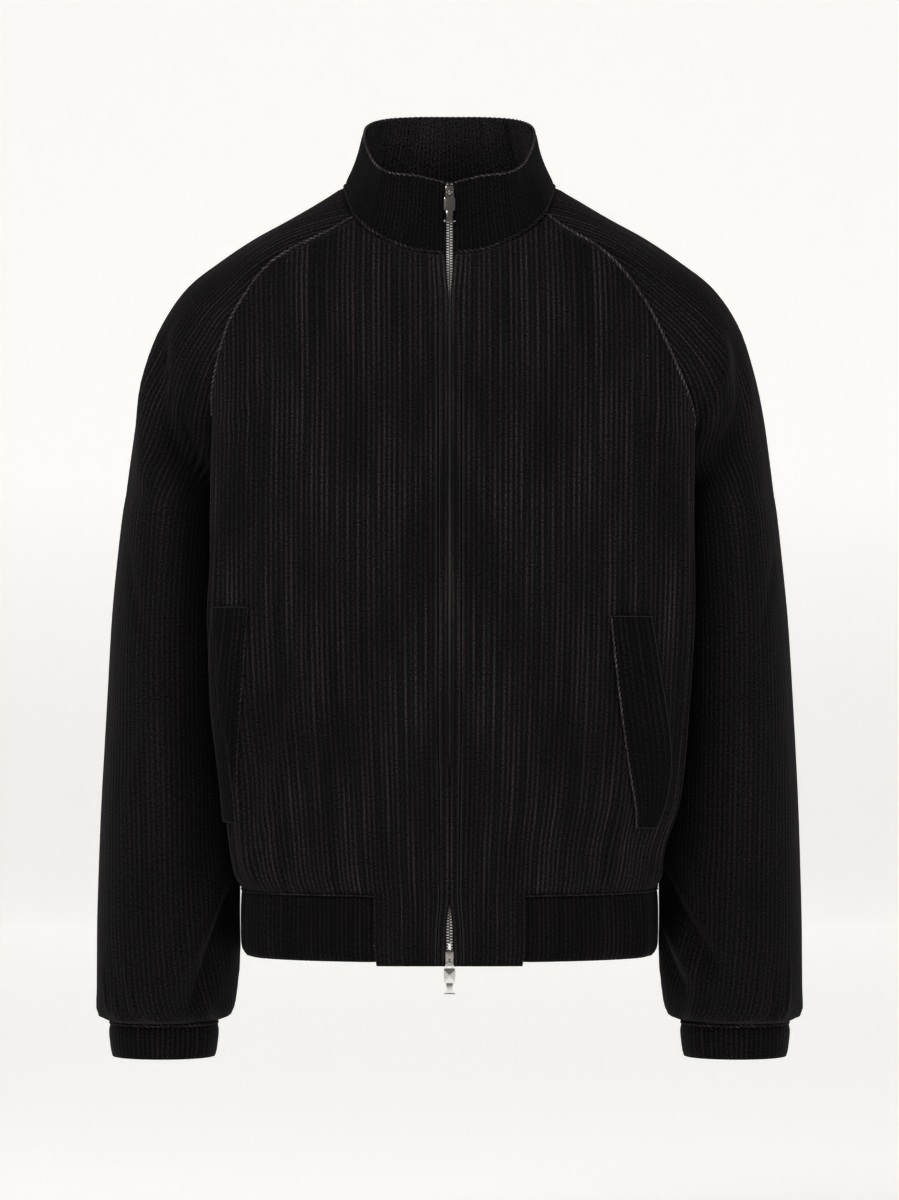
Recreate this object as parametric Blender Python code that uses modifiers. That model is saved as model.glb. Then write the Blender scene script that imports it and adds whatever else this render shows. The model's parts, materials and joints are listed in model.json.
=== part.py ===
# A raglan-sleeved zip-front jacket of wide-wale corduroy, standing hollow as if worn.
# Metres, +Z up. The front faces -Y and the picture's right is +X. The origin is between
# the shoulders, at the middle of the neck. "left" and "right" are the picture's.
import math

import bpy
import numpy as np
from mathutils import Matrix

WALL = 0.0018
DOUBLE_CLOTH = 0.0034
SEAM_GAP = 0.0004

FRONT_WIDTH = 0.319
HALF_GIRTH = 0.5595
ARMPIT_Z = -0.246
BAND_SEAM_Z = -0.592
# the fronts' own lower parts hang a little below the band
HEM_Z = -0.652
BAND_END_Z = -0.6488
BAND_START = 0.0745
CUFF_SEAM_Z = -0.7085
CUFF_END_Z = -0.738

# where round the body the fronts turn sharply back
FOLD_FROM = 0.198
FOLD_TO = 0.262

FRONT_ROWS = 20
BACK_NECK_COLUMNS = 3
BACK_COLUMNS = 8
BACK_ROWS = 17
SLEEVE_COLUMNS = 24
SLEEVE_UPPER_ROWS = 11
SLEEVE_LOWER_ROWS = 12
COLLAR_COLUMNS = 40
COLLAR_ROWS = 3
BAND_COLUMNS = 44
CUFF_COLUMNS = 20

# The body's sections, from the neck down: half-widths at the front fold, the fold's depth
# before the middle, the centre front's depth, the half-width under the sleeve, how far the
# cloth runs back from the fold to the side, and the centre back's depth.
TORSO = (
    # z, wide_left, wide_right, fold, front, side, curl, back
    (-0.652, 0.1745, 0.1745, 0.045, 0.1160, 0.1795, 0.035, 0.100),
    (-0.641, 0.1790, 0.1790, 0.046, 0.1168, 0.1822, 0.035, 0.101),
    (-0.604, 0.1795, 0.1790, 0.047, 0.1175, 0.1829, 0.036, 0.102),
    (-0.592, 0.1810, 0.1790, 0.054, 0.1185, 0.1842, 0.038, 0.103),
    (-0.578, 0.1860, 0.1810, 0.064, 0.1200, 0.1829, 0.040, 0.106),
    (-0.550, 0.1905, 0.1850, 0.071, 0.1215, 0.1808, 0.040, 0.108),
    (-0.510, 0.1945, 0.1965, 0.075, 0.1250, 0.1796, 0.040, 0.110),
    (-0.430, 0.2030, 0.2050, 0.078, 0.1255, 0.1796, 0.040, 0.112),
    (-0.340, 0.2065, 0.2095, 0.078, 0.1235, 0.1795, 0.038, 0.116),
    (-0.246, 0.2070, 0.2110, 0.075, 0.1190, 0.1800, 0.038, 0.119),
    (-0.170, 0.2060, 0.2125, 0.067, 0.1120, 0.1930, 0.039, 0.120),
    (-0.110, 0.2070, 0.2130, 0.050, 0.1040, 0.2030, 0.040, 0.117),
    (-0.060, 0.2090, 0.2120, 0.020, 0.0920, 0.2070, 0.040, 0.110),
    (-0.030, 0.2080, 0.2100, -0.012, 0.0790, 0.2070, 0.040, 0.102),
    (0.000, 0.2070, 0.2090, -0.045, 0.0520, 0.2030, 0.040, 0.089),
    (0.034, 0.2060, 0.2080, -0.078, 0.0180, 0.1960, 0.040, 0.066),
)

# Stations round half the body, from the centre front (s = 0) to the centre back, each as
# shares of the section's sizes.
STATIONS = (
    # s, of wide, of side, of front, of fold, of curl, of back
    (0.0000, 0.00, 0.00, 1.00, 0.00, 0.00, 0.00),
    (0.0750, 0.36, 0.00, 0.97, 0.03, 0.00, 0.00),
    (0.1470, 0.70, 0.00, 0.76, 0.24, 0.00, 0.00),
    (0.1980, 0.93, 0.00, 0.40, 0.60, 0.00, 0.00),
    (0.2220, 1.00, 0.00, 0.00, 1.00, 0.00, 0.00),
    (0.2480, 0.50, 0.50, 0.00, 1.00, 0.55, 0.00),
    (0.2740, 0.00, 1.00, 0.00, 1.00, 1.00, 0.00),
    (0.3190, 0.00, 1.00, 0.00, 0.00, 0.00, 0.10),
    (0.3660, 0.00, 0.97, 0.00, 0.00, 0.00, 0.52),
    (0.4140, 0.00, 0.80, 0.00, 0.00, 0.00, 0.84),
    (0.4840, 0.00, 0.42, 0.00, 0.00, 0.00, 0.98),
    (0.5595, 0.00, 0.00, 0.00, 0.00, 0.00, 1.00),
)

# The raglan seam, from the neck (v = 0) to the armpit (v = 1): its place on the body's
# front and back, and the crest of the sleeve at the same v. The sleeve bows between them:
# bow is the length of the curve's handle at the crest and edge that of the one at the seam,
# as shares of the distance between the two. turn is how far the edge's direction has swung
# round to the sleeve's own ring, and heading its angle from sideways to forwards, in degrees.
RAGLAN_COLUMNS = (
    "v", "s_left", "z_left", "s_right", "z_right", "s_back", "z_back",
    "x", "y", "z", "bow", "edge", "turn", "heading",
)
RAGLAN = (
    (0.00, 0.084, -0.0055, 0.084, -0.0032, 0.498, 0.031, 0.0935, -0.002, 0.0245, 0.36, 0.36, 0.0, 0),
    (0.10, 0.105, -0.0180, 0.102, -0.0165, 0.484, 0.014, 0.1140, 0.002, 0.0115, 0.36, 0.36, 0.0, 0),
    (0.22, 0.143, -0.0370, 0.129, -0.0330, 0.462, -0.012, 0.1420, 0.005, -0.0050, 0.37, 0.37, 0.0, 0),
    (0.34, 0.162, -0.0520, 0.149, -0.0530, 0.441, -0.042, 0.1710, 0.007, -0.0205, 0.38, 0.38, 0.0, 0),
    (0.46, 0.179, -0.0740, 0.169, -0.0830, 0.421, -0.078, 0.2010, 0.008, -0.0400, 0.41, 0.38, 0.0, 0),
    (0.58, 0.197, -0.1010, 0.187, -0.1180, 0.402, -0.118, 0.2320, 0.009, -0.0645, 0.47, 0.38, 0.2, 0),
    (0.70, 0.213, -0.1400, 0.205, -0.1540, 0.386, -0.158, 0.2545, 0.009, -0.0990, 0.56, 0.38, 0.6, 2),
    (0.80, 0.230, -0.1800, 0.225, -0.1900, 0.371, -0.194, 0.2680, 0.009, -0.1420, 0.66, 0.38, 0.9, 4),
    (0.88, 0.248, -0.2110, 0.246, -0.2160, 0.356, -0.221, 0.2760, 0.009, -0.1800, 0.75, 0.42, 1.0, 14),
    (0.95, 0.275, -0.2350, 0.275, -0.2360, 0.340, -0.238, 0.2815, 0.010, -0.2170, 0.86, 0.56, 1.0, 38),
    (1.00, 0.319, -0.2460, 0.319, -0.2460, 0.319, -0.246, 0.2855, 0.012, -0.2460, 1.03, 1.03, 1.0, 80),
)

# the back half of the sleeve's curve bows this much of the front half's
BACK_SHARE = 0.91
# handles that turn a cubic's two ends into half an oval
OVAL_HANDLE = 4 / 3

# The sleeve below the armpit: its inner and outer sides, the middle of its depth and how
# far it reaches before and behind that.
ARM = (
    # z, inner, outer, middle, before, behind
    (-0.246, 0.1804, 0.2855, 0.012, 0.083, 0.074),
    (-0.262, 0.1836, 0.2880, 0.010, 0.084, 0.075),
    (-0.300, 0.1840, 0.2920, 0.008, 0.084, 0.075),
    (-0.360, 0.1838, 0.2975, 0.005, 0.082, 0.073),
    (-0.430, 0.1834, 0.3015, 0.000, 0.078, 0.070),
    (-0.500, 0.1832, 0.3045, -0.004, 0.074, 0.068),
    (-0.570, 0.1835, 0.3072, -0.007, 0.070, 0.066),
    (-0.620, 0.1835, 0.3088, -0.009, 0.067, 0.064),
    (-0.655, 0.1836, 0.3090, -0.011, 0.064, 0.061),
    (-0.686, 0.1868, 0.3088, -0.012, 0.060, 0.057),
    (-0.700, 0.1902, 0.3070, -0.013, 0.056, 0.053),
    (-0.708, 0.1965, 0.3020, -0.014, 0.048, 0.046),
)
# the same sizes where the sleeve meets its cuff, and how far above it the sleeve closes in
SLEEVE_FOOT = (0.2022, 0.2985, -0.014, 0.0415, 0.0405)
FOOT_HEIGHT = 0.006
FOOT_ROW = 0.007
# below 1, the sleeve's rows lie closer together towards the cuff
LOWER_ROW_SPREAD = 0.92
# metres round the sleeve, which turn shares of it into distances
SLEEVE_GIRTH = 0.43
CUFF_BULGE = 0.0006
CUFF_TAPER = 0.0022
CUFF_ROWS_Z = (-0.718, -0.729)
BAND_ROWS_Z = (-0.641, -0.622, -0.605)

# The neck seam between the two raglan seams passes over the shoulder here.
NECK_SIDE = (0.0935, -0.002, 0.0245)
# its direction and speed at its front end, over the shoulder and at its back end
NECK_TANGENTS = ((0.022, 0.030, 0.040), (0.0, 0.105, 0.022), (-0.060, 0.055, -0.008))
# The front's edge from the middle to the raglan seam, and the back's from the raglan seam
# to the middle, as places on the body.
NECK_FRONT = ((0.000, -0.0405), (0.030, -0.0370), (0.052, -0.0285), (0.070, -0.0180), (0.084, -0.0044))
NECK_BACK = ((0.498, 0.0310), (0.520, 0.0305), (0.5595, 0.0290))

# The collar's upper edge, from the zip to the centre back.
COLLAR_TOP = (
    # x, y, z
    (0.0044, -0.0705, 0.0225),
    (0.0300, -0.0690, 0.0285),
    (0.0510, -0.0610, 0.0315),
    (0.0640, -0.0450, 0.0390),
    (0.0715, -0.0250, 0.0510),
    (0.0765, 0.0000, 0.0665),
    (0.0745, 0.0280, 0.0810),
    (0.0600, 0.0520, 0.0890),
    (0.0330, 0.0670, 0.0925),
    (0.0000, 0.0705, 0.0930),
)
COLLAR_LEAN = 0.0022
# share of the collar's half over which its hollow grows from the zip
COLLAR_GROWTH = 0.083
COLLAR_GAP = 0.00064
# the collar stands round this point
NECK_MIDDLE = (0.0, -0.004, 0.0)

# Half the opening between the two fronts: where the zip shows at the collar and the hem.
ZIP_OPENING = (
    # z, half width
    (-0.652, 0.0047),
    (-0.634, 0.0043),
    (-0.615, 0.0030),
    (-0.600, 0.0010),
    (-0.580, 0.0004),
    (-0.500, 0.0004),
    (-0.470, 0.0010),
    (-0.300, 0.0011),
    (-0.100, 0.0011),
    (-0.075, 0.0014),
    (-0.054, 0.0032),
    (-0.040, 0.0040),
    (0.023, 0.0043),
)
OPENING_FADE = 0.030

# The seam draws the body in above the hem band.
WAIST_DEPTH = 0.0018
WAIST_REACH = 0.011
WAIST_FADE = 0.030

# Folds fade over this distance at a panel's edges, and over this share of their own length
# at each end, half of it past the end.
FOLD_FADE = 0.030
FOLD_TAIL = 0.5

# Soft folds in the cloth, each a ridge (height above 0) or trough between two places.
LEFT_FRONT_FOLDS = (
    # s, z at the start, s, z at the end, height, width
    (0.104, -0.328, 0.134, -0.448, 0.0045, 0.020),
    (0.134, -0.448, 0.187, -0.577, 0.0045, 0.016),
    (0.150, -0.370, 0.170, -0.500, -0.0040, 0.020),
    (0.200, -0.360, 0.196, -0.575, 0.0030, 0.016),
    (0.045, -0.300, 0.060, -0.560, -0.0030, 0.030),
    (0.090, -0.575, 0.086, -0.530, 0.0022, 0.009),
    (0.130, -0.575, 0.124, -0.535, 0.0022, 0.009),
)
RIGHT_FRONT_FOLDS = (
    (0.139, -0.430, 0.153, -0.589, 0.0040, 0.018),
    (0.036, -0.500, 0.053, -0.600, 0.0035, 0.018),
    (0.096, -0.440, 0.096, -0.585, -0.0030, 0.018),
    (0.190, -0.420, 0.200, -0.540, 0.0035, 0.014),
    (0.110, -0.150, 0.120, -0.300, -0.0025, 0.035),
    (0.170, -0.575, 0.164, -0.530, 0.0022, 0.009),
)
BACK_FOLDS = (
    # s from the centre back, positive to the picture's right
    (0.120, -0.140, 0.150, -0.330, -0.0040, 0.030),
    (-0.125, -0.150, -0.150, -0.350, -0.0040, 0.030),
    (0.055, -0.400, 0.090, -0.580, 0.0045, 0.024),
    (-0.060, -0.380, -0.085, -0.580, 0.0045, 0.024),
    (0.000, -0.450, 0.005, -0.585, -0.0035, 0.022),
    (0.150, -0.470, 0.160, -0.580, 0.0035, 0.018),
    (-0.160, -0.480, -0.150, -0.580, 0.0035, 0.018),
)
# On a sleeve the place round it is a share: 0 at the underarm, 0.5 at the outer side.
LEFT_SLEEVE_FOLDS = (
    # share, z at the start, share, z at the end, height, width in shares
    (0.34, -0.116, 0.11, -0.225, -0.0070, 0.040),
    (0.44, -0.120, 0.24, -0.270, 0.0045, 0.050),
    (0.04, -0.594, 0.16, -0.691, -0.0060, 0.032),
    (0.10, -0.575, 0.24, -0.685, 0.0045, 0.036),
    (0.30, -0.380, 0.22, -0.520, 0.0030, 0.050),
    (0.70, -0.200, 0.85, -0.330, -0.0055, 0.045),
    (0.66, -0.430, 0.80, -0.560, 0.0040, 0.050),
    (0.84, -0.600, 0.74, -0.690, -0.0050, 0.040),
)
RIGHT_SLEEVE_FOLDS = (
    (0.23, -0.117, 0.03, -0.195, 0.0050, 0.040),
    (0.33, -0.118, 0.11, -0.235, -0.0065, 0.042),
    (0.02, -0.579, 0.19, -0.660, -0.0070, 0.030),
    (0.00, -0.632, 0.10, -0.680, -0.0050, 0.028),
    (0.10, -0.550, 0.30, -0.645, 0.0045, 0.040),
    (0.72, -0.210, 0.86, -0.320, -0.0055, 0.045),
    (0.64, -0.400, 0.78, -0.540, 0.0040, 0.050),
    (0.82, -0.590, 0.72, -0.690, -0.0050, 0.040),
)
# Small gathers where the sleeve is eased into its cuff and the body into its band.
CUFF_GATHERS = 9
CUFF_GATHER_HEIGHT = 0.0022
CUFF_GATHER_REACH = 0.034
# they rise from the cuff over this share of their reach, and stand unevenly: their places
# wander by this many radians, this often round the sleeve
CUFF_GATHER_RISE = 0.2
GATHER_WANDER = 0.6
GATHER_TURNS = 9
# A sleeve's folds stop short of its seams: at the neck and the cuff they start this far off
# and grow over this distance, and they grow from the other seams over these shares.
NECK_HOLD = 0.10
NECK_GROWTH = 0.15
CUFF_HOLD = 0.001
CUFF_GROWTH = 0.008
RAGLAN_GROWTH = 0.125
UNDERARM_GROWTH = 0.083
# share of the way round within which the sleeve's corners at the neck keep their form
NECK_CORNER = 0.05

# The welts' edges on the fronts, from top to bottom.
WELT_RIGHT = (
    # s inner, s outer, z
    (0.1383, 0.1754, -0.3520),
    (0.1480, 0.1895, -0.4200),
    (0.1600, 0.2005, -0.4800),
    (0.1770, 0.1985, -0.5340),
)
WELT_LEFT = (
    (0.1760, 0.2120, -0.3440),
    (0.1840, 0.2210, -0.4160),
    (0.1930, 0.2280, -0.4760),
    (0.2000, 0.2260, -0.5300),
)
WELT_LIFT = 0.0014
WELT_THICKNESS = 0.0016
WELT_COLUMNS = 5
WELT_ROWS = 9

# The zip: a chain 6.4 mm wide on two tapes behind the fronts' edges.
CHAIN_HALF = 0.0032
CHAIN_THICKNESS = 0.0022
CHAIN_PLAY = 0.00015
TAPE_WIDTH = 0.014
TAPE_THICKNESS = 0.0007
TAPE_DEPTH = 0.0026
ZIP_FOOT_Z = -0.6480
ZIP_HEAD_Z = 0.0194
ZIP_ROWS = 26
ZIP_HEAD_ROWS = 5
# inside the collar the tape is as narrow as the chain, from this far below the neck seam
TAPE_NARROWS = 0.004
TAPE_RIM = 0.0001

SLIDER_WIDTH = 0.0068
SLIDER_LENGTH = 0.0135
PLATE_THICKNESS = 0.0011
ARCH_WIDTH = 0.0018
ARCH_LENGTH = 0.0062
ARCH_RISE = 0.0036
ARCH_BAND = 0.0008
PIN_DIAMETER = 0.0009
PULL_WIDTH = 0.0098
PULL_LENGTH = 0.0275
PULL_THICKNESS = 0.0012
PULL_EYE = 0.0056
PULL_PLATE = 0.0128
PULL_FOOT = 0.0018
PULL_ARM = 0.0013
# shares of the plate's width and thickness
PULL_STEM = 0.62
PULL_ARM_THICKNESS = 0.8
PULL_STEM_THICKNESS = 0.86
PULL_OVERLAP = 0.0022
PIN_PLAY = 0.0003
TOP_SLIDER_Z = 0.0128
BOTTOM_SLIDER_Z = -0.6450

POST_WIDTH = 0.0009
POST_LENGTH = 0.0022
POST_PLAY = 0.0018
POST_SIDE_PLAY = 0.0003
# how far the post passes into the two plates together, as a share of one's thickness
POST_REACH = 0.8
SLIDER_CLEARANCE = 0.0004
JOIN_OVERLAP = 0.0004
SEAT_SPAN = 0.006
ARCH_SHIFT = 0.0034
TOP_PULL_LEAN = math.radians(-14)
STOP_WIDTH = 0.0026
STOP_HEIGHT = 0.0020
STOP_SEAT = 0.0007
STOP_OFFSET = 0.0006

# distance between the points that a surface's own direction is taken from, the same along
# a seam as a share of it, and how many points a seam's whole course is read at
SAMPLE = 0.002
SEAM_SAMPLE = 0.01
SEAM_POINTS = 161
NECK_POINTS = 40

CORDUROY_COLOUR = (0.0045, 0.004, 0.0042)
CORDUROY_ROUGHNESS = 0.9
NICKEL_COLOUR = (0.55, 0.54, 0.52)
NICKEL_ROUGHNESS = 0.28

SHELL = "jacket"
HELPERS = "jacket_helpers"


def smooth(knots, values, at):
    # cubic through every knot; its slope there is the slope between the two neighbours
    knots = np.asarray(knots, float)
    values = np.asarray(values, float)
    at = np.clip(np.asarray(at, float), knots[0], knots[-1])
    flat = values.ndim == 1
    if flat:
        values = values[:, None]
    slope = np.empty_like(values)
    slope[1:-1] = (values[2:] - values[:-2]) / (knots[2:] - knots[:-2])[:, None]
    slope[0] = (values[1] - values[0]) / (knots[1] - knots[0])
    slope[-1] = (values[-1] - values[-2]) / (knots[-1] - knots[-2])
    i = np.clip(np.searchsorted(knots, at, side="right") - 1, 0, len(knots) - 2)
    step = (knots[i + 1] - knots[i])[..., None]
    t = (at[..., None] - knots[i][..., None]) / step
    out = (2 * t**3 - 3 * t**2 + 1) * values[i] + (t**3 - 2 * t**2 + t) * step * slope[i]
    out = out + (3 * t**2 - 2 * t**3) * values[i + 1] + (t**3 - t**2) * step * slope[i + 1]
    return out[..., 0] if flat else out


def ease(t):
    t = np.clip(t, 0.0, 1.0)
    return t * t * (3 - 2 * t)


def unit(vector):
    return vector / np.maximum(np.linalg.norm(vector, axis=-1, keepdims=True), 1e-9)


def torso(s, z, side):
    # the body's point at cloth distance s from the centre front and height z
    s, z = np.broadcast_arrays(np.asarray(s, float), np.asarray(z, float))
    table = np.array(TORSO)
    sizes = smooth(table[:, 0], table[:, 1:], z)
    wide = sizes[..., 0] if side < 0 else sizes[..., 1]
    fold, front, under, curl, back = (sizes[..., k] for k in range(2, 7))
    stations = np.array(STATIONS)
    share = [smooth(stations[:, 0], stations[:, k], s) for k in range(1, 7)]
    x = share[0] * wide + share[1] * under
    y = share[4] * curl + share[5] * back - share[2] * front - share[3] * fold
    return np.stack([x, y, z], axis=-1)


def normals_of(points):
    # the grid's own normals, from the differences of its rows and columns
    along = np.gradient(points, axis=0)
    across = np.gradient(points, axis=1)
    return unit(np.cross(across, along))


def relief(s, z, folds, stretch=1.0):
    # the sum of the folds' heights: a bell across each, fading at its ends
    total = np.zeros(np.broadcast(s, z).shape)
    for s0, z0, s1, z1, height, width in folds:
        run_s = (s1 - s0) * stretch
        run_z = z1 - z0
        length = math.hypot(run_s, run_z)
        t = ((s - s0) * stretch * run_s + (z - z0) * run_z) / length**2
        off = ((s - s0) * stretch * run_z - (z - z0) * run_s) / length
        fade = ease(t / FOLD_TAIL + 0.5) * ease((1 - t) / FOLD_TAIL + 0.5)
        total = total + height * fade * np.exp(-((off / (width * stretch)) ** 2))
    return total


def raglan_column(name):
    return np.array(RAGLAN)[:, RAGLAN_COLUMNS.index(name)]


def seam(v, side, back):
    # (s, z) of the raglan seam at v
    where = "back" if back else ("left" if side < 0 else "right")
    knots = raglan_column("v")
    return smooth(knots, raglan_column("s_" + where), v), smooth(knots, raglan_column("z_" + where), v)


def top_of_front(s, side):
    # height of a front's upper edge: the neck seam, then the raglan seam
    neck = np.array(NECK_FRONT)
    v = np.linspace(0, 1, SEAM_POINTS)
    seam_s, seam_z = seam(v, side, False)
    neck_z = smooth(neck[:, 0], neck[:, 1], s)
    join = seam_z[0] - neck[-1, 1]
    neck_z = neck_z + join * ease(s / neck[-1, 0])
    return np.where(s < seam_s[0], neck_z, np.interp(s, seam_s, seam_z))


def top_of_back(s):
    neck = np.array(NECK_BACK)
    v = np.linspace(0, 1, SEAM_POINTS)
    seam_s, seam_z = seam(v, 1, True)
    neck_z = smooth(neck[:, 0], neck[:, 1], s)
    return np.where(s > seam_s[0], neck_z, np.interp(s, seam_s[::-1], seam_z[::-1]))


def grid_faces(rows, columns, keep=None):
    faces = []
    for j in range(rows - 1):
        for i in range(columns - 1):
            if keep is None or keep[j, i]:
                a = j * columns + i
                faces.append((a, a + 1, a + columns + 1, a + columns))
    return faces


def material(name, colour, roughness, metallic):
    made = bpy.data.materials.new(name)
    made.use_nodes = True
    shader = made.node_tree.nodes["Principled BSDF"]
    shader.inputs["Base Color"].default_value = (*colour, 1.0)
    shader.inputs["Roughness"].default_value = roughness
    shader.inputs["Metallic"].default_value = metallic
    return made


def corduroy(name):
    return material(name + "_corduroy", CORDUROY_COLOUR, CORDUROY_ROUGHNESS, 0.0)


def nickel(name):
    return material(name + "_nickel", NICKEL_COLOUR, NICKEL_ROUGHNESS, 1.0)


def mesh_object(name, points, faces, stuff):
    mesh = bpy.data.meshes.new(name)
    used = sorted({k for face in faces for k in face})
    place = {k: n for n, k in enumerate(used)}
    flat = np.asarray(points, float).reshape(-1, 3)
    corners = [tuple(place[k] for k in face) for face in faces]
    mesh.from_pydata([tuple(flat[k]) for k in used], [], corners)
    mesh.update()
    mesh.shade_smooth()
    made = bpy.data.objects.new(name, mesh)
    made.data.materials.append(stuff)
    bpy.data.collections[SHELL].objects.link(made)
    return made


def cloth_object(name, points, faces, thickness=WALL):
    # the outer side as drawn, and the wall's thickness laid inwards
    made = mesh_object(name, points, faces, corduroy(name))
    wall = made.modifiers.new("Wall", "SOLIDIFY")
    wall.thickness = thickness
    wall.offset = -1
    wall.use_even_offset = False
    wall.use_quality_normals = True
    return made


def mirrored(points, side):
    return points * np.array([side, 1.0, 1.0])


def turned(faces, side):
    return [face[::-1] for face in faces] if side < 0 else faces


def outward(s, z, side):
    # the body's outward direction at a place on it
    across = torso(s + SAMPLE, z, side) - torso(s - SAMPLE, z, side)
    rise = torso(s, z + SAMPLE, side) - torso(s, z - SAMPLE, side)
    return unit(np.cross(across, rise))


def waist(s, z):
    # how far the hem band's seam draws the cloth in, none at the fronts' own lower parts
    near = (z - BAND_SEAM_Z) / WAIST_REACH
    return WAIST_DEPTH * np.exp(-near * near) * ease((s - BAND_START) / WAIST_FADE)


def front_points(s, z, side, lift=0.0):
    # a front's outer side: the body's form with its folds and the opening at the zip
    opening = np.array(ZIP_OPENING)
    half = smooth(opening[:, 0], opening[:, 1], z)
    place = s + half * ease(1 - s / OPENING_FADE)
    folds = LEFT_FRONT_FOLDS if side < 0 else RIGHT_FRONT_FOLDS
    edge = ease((z - BAND_SEAM_Z) / FOLD_FADE) * ease((top_of_front(s, side) - z) / FOLD_FADE)
    rise = relief(s, z, folds) * edge + lift - waist(s, z)
    return torso(place, z, side) + outward(place, z, side) * rise[..., None]


def front_columns(side):
    # one column on the hem band's end, one where the raglan seam meets the neck seam, and
    # closer together round the front fold, where the cloth turns sharply
    corner = float(seam(0.0, side, False)[0])
    spans = (
        # from, to, steps
        (0.0, BAND_START, 4),
        (BAND_START, corner, 1),
        (corner, FOLD_FROM, 6),
        (FOLD_FROM, FOLD_TO, 5),
        (FOLD_TO, FRONT_WIDTH, 3),
    )
    columns = [0.0]
    for low, high, steps in spans:
        columns.extend(low + (high - low) * (k + 1) / steps for k in range(steps))
    return np.array(columns), spans[0][2]


def build_front(name, side):
    columns, band = front_columns(side)
    columns[-1] -= SEAM_GAP / 2
    top = top_of_front(columns, side) - SEAM_GAP
    rows = np.linspace(0, 1, FRONT_ROWS)
    low = BAND_SEAM_Z + SEAM_GAP / 2
    upper = low + rows[:, None] * (top - low)[None, :]
    lower = np.array([HEM_Z, (HEM_Z + BAND_SEAM_Z) / 2])[:, None] + np.zeros_like(columns)[None, :]
    z = np.vstack([lower, upper])
    s = np.broadcast_to(columns, z.shape)
    points = front_points(s, z, side)
    keep = np.ones((len(z) - 1, len(columns) - 1), bool)
    keep[:2, band:] = False
    faces = grid_faces(len(z), len(columns), keep)
    return cloth_object(name, mirrored(points, side), turned(faces, side))


def mirror_signs(side, vectors):
    # vectors with their sideways part turned over on the left half
    vectors = vectors.copy()
    vectors[..., 0] *= side
    return vectors


def back_points(s, z):
    # s runs from one side seam, through the centre back, to the other, negative to the left
    side = np.sign(s + 1e-9)
    around = HALF_GIRTH - np.abs(s)
    points = torso(around, z, 1)
    points[..., 0] *= side
    edge = ease((z - BAND_SEAM_Z) / FOLD_FADE)
    rise = relief(s, z, BACK_FOLDS) * edge - waist(around, z)
    return points + mirror_signs(side, outward(around, z, 1)) * rise[..., None]


def build_back(name):
    reach = HALF_GIRTH - FRONT_WIDTH - SEAM_GAP / 2
    corner = HALF_GIRTH - float(seam(0.0, 1, True)[0])
    neck = np.linspace(0, corner, BACK_NECK_COLUMNS + 1)
    half = np.concatenate([neck[1:], np.linspace(corner, reach, BACK_COLUMNS + 1)[1:]])
    columns = np.concatenate([-half[::-1], [0.0], half])
    top = top_of_back(HALF_GIRTH - np.abs(columns)) - SEAM_GAP
    low = BAND_SEAM_Z + SEAM_GAP / 2
    z = low + np.linspace(0, 1, BACK_ROWS)[:, None] * (top - low)[None, :]
    points = back_points(np.broadcast_to(columns, z.shape), z)
    faces = grid_faces(len(z), len(columns))
    return cloth_object(name, points, [face[::-1] for face in faces])


def bezier(a, b, c, d, t):
    t = t[..., None]
    return (1 - t) ** 3 * a + 3 * (1 - t) ** 2 * t * b + 3 * (1 - t) * t**2 * c + t**3 * d


def neck_side(t, side):
    # the neck seam over the shoulder, from the front raglan seam (t = 0) to the back one
    s0, z0 = seam(0.0, side, False)
    s1, z1 = seam(0.0, side, True)
    a = torso(s0, z0, side)
    c = torso(s1, z1, side)
    b = np.array(NECK_SIDE)
    ends = np.stack([a, b, c])
    tangent = np.array(NECK_TANGENTS)
    i = np.minimum((np.asarray(t) * 2).astype(int), 1)
    local = (np.asarray(t) * 2 - i)[..., None]
    # each half of the seam takes half of the run, so it takes half of the speed
    leave = (2 * local**3 - 3 * local**2 + 1) * ends[i] + (local**3 - 2 * local**2 + local) * tangent[i] / 2
    arrive = (3 * local**2 - 2 * local**3) * ends[i + 1] + (local**3 - local**2) * tangent[i + 1] / 2
    return leave + arrive


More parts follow.
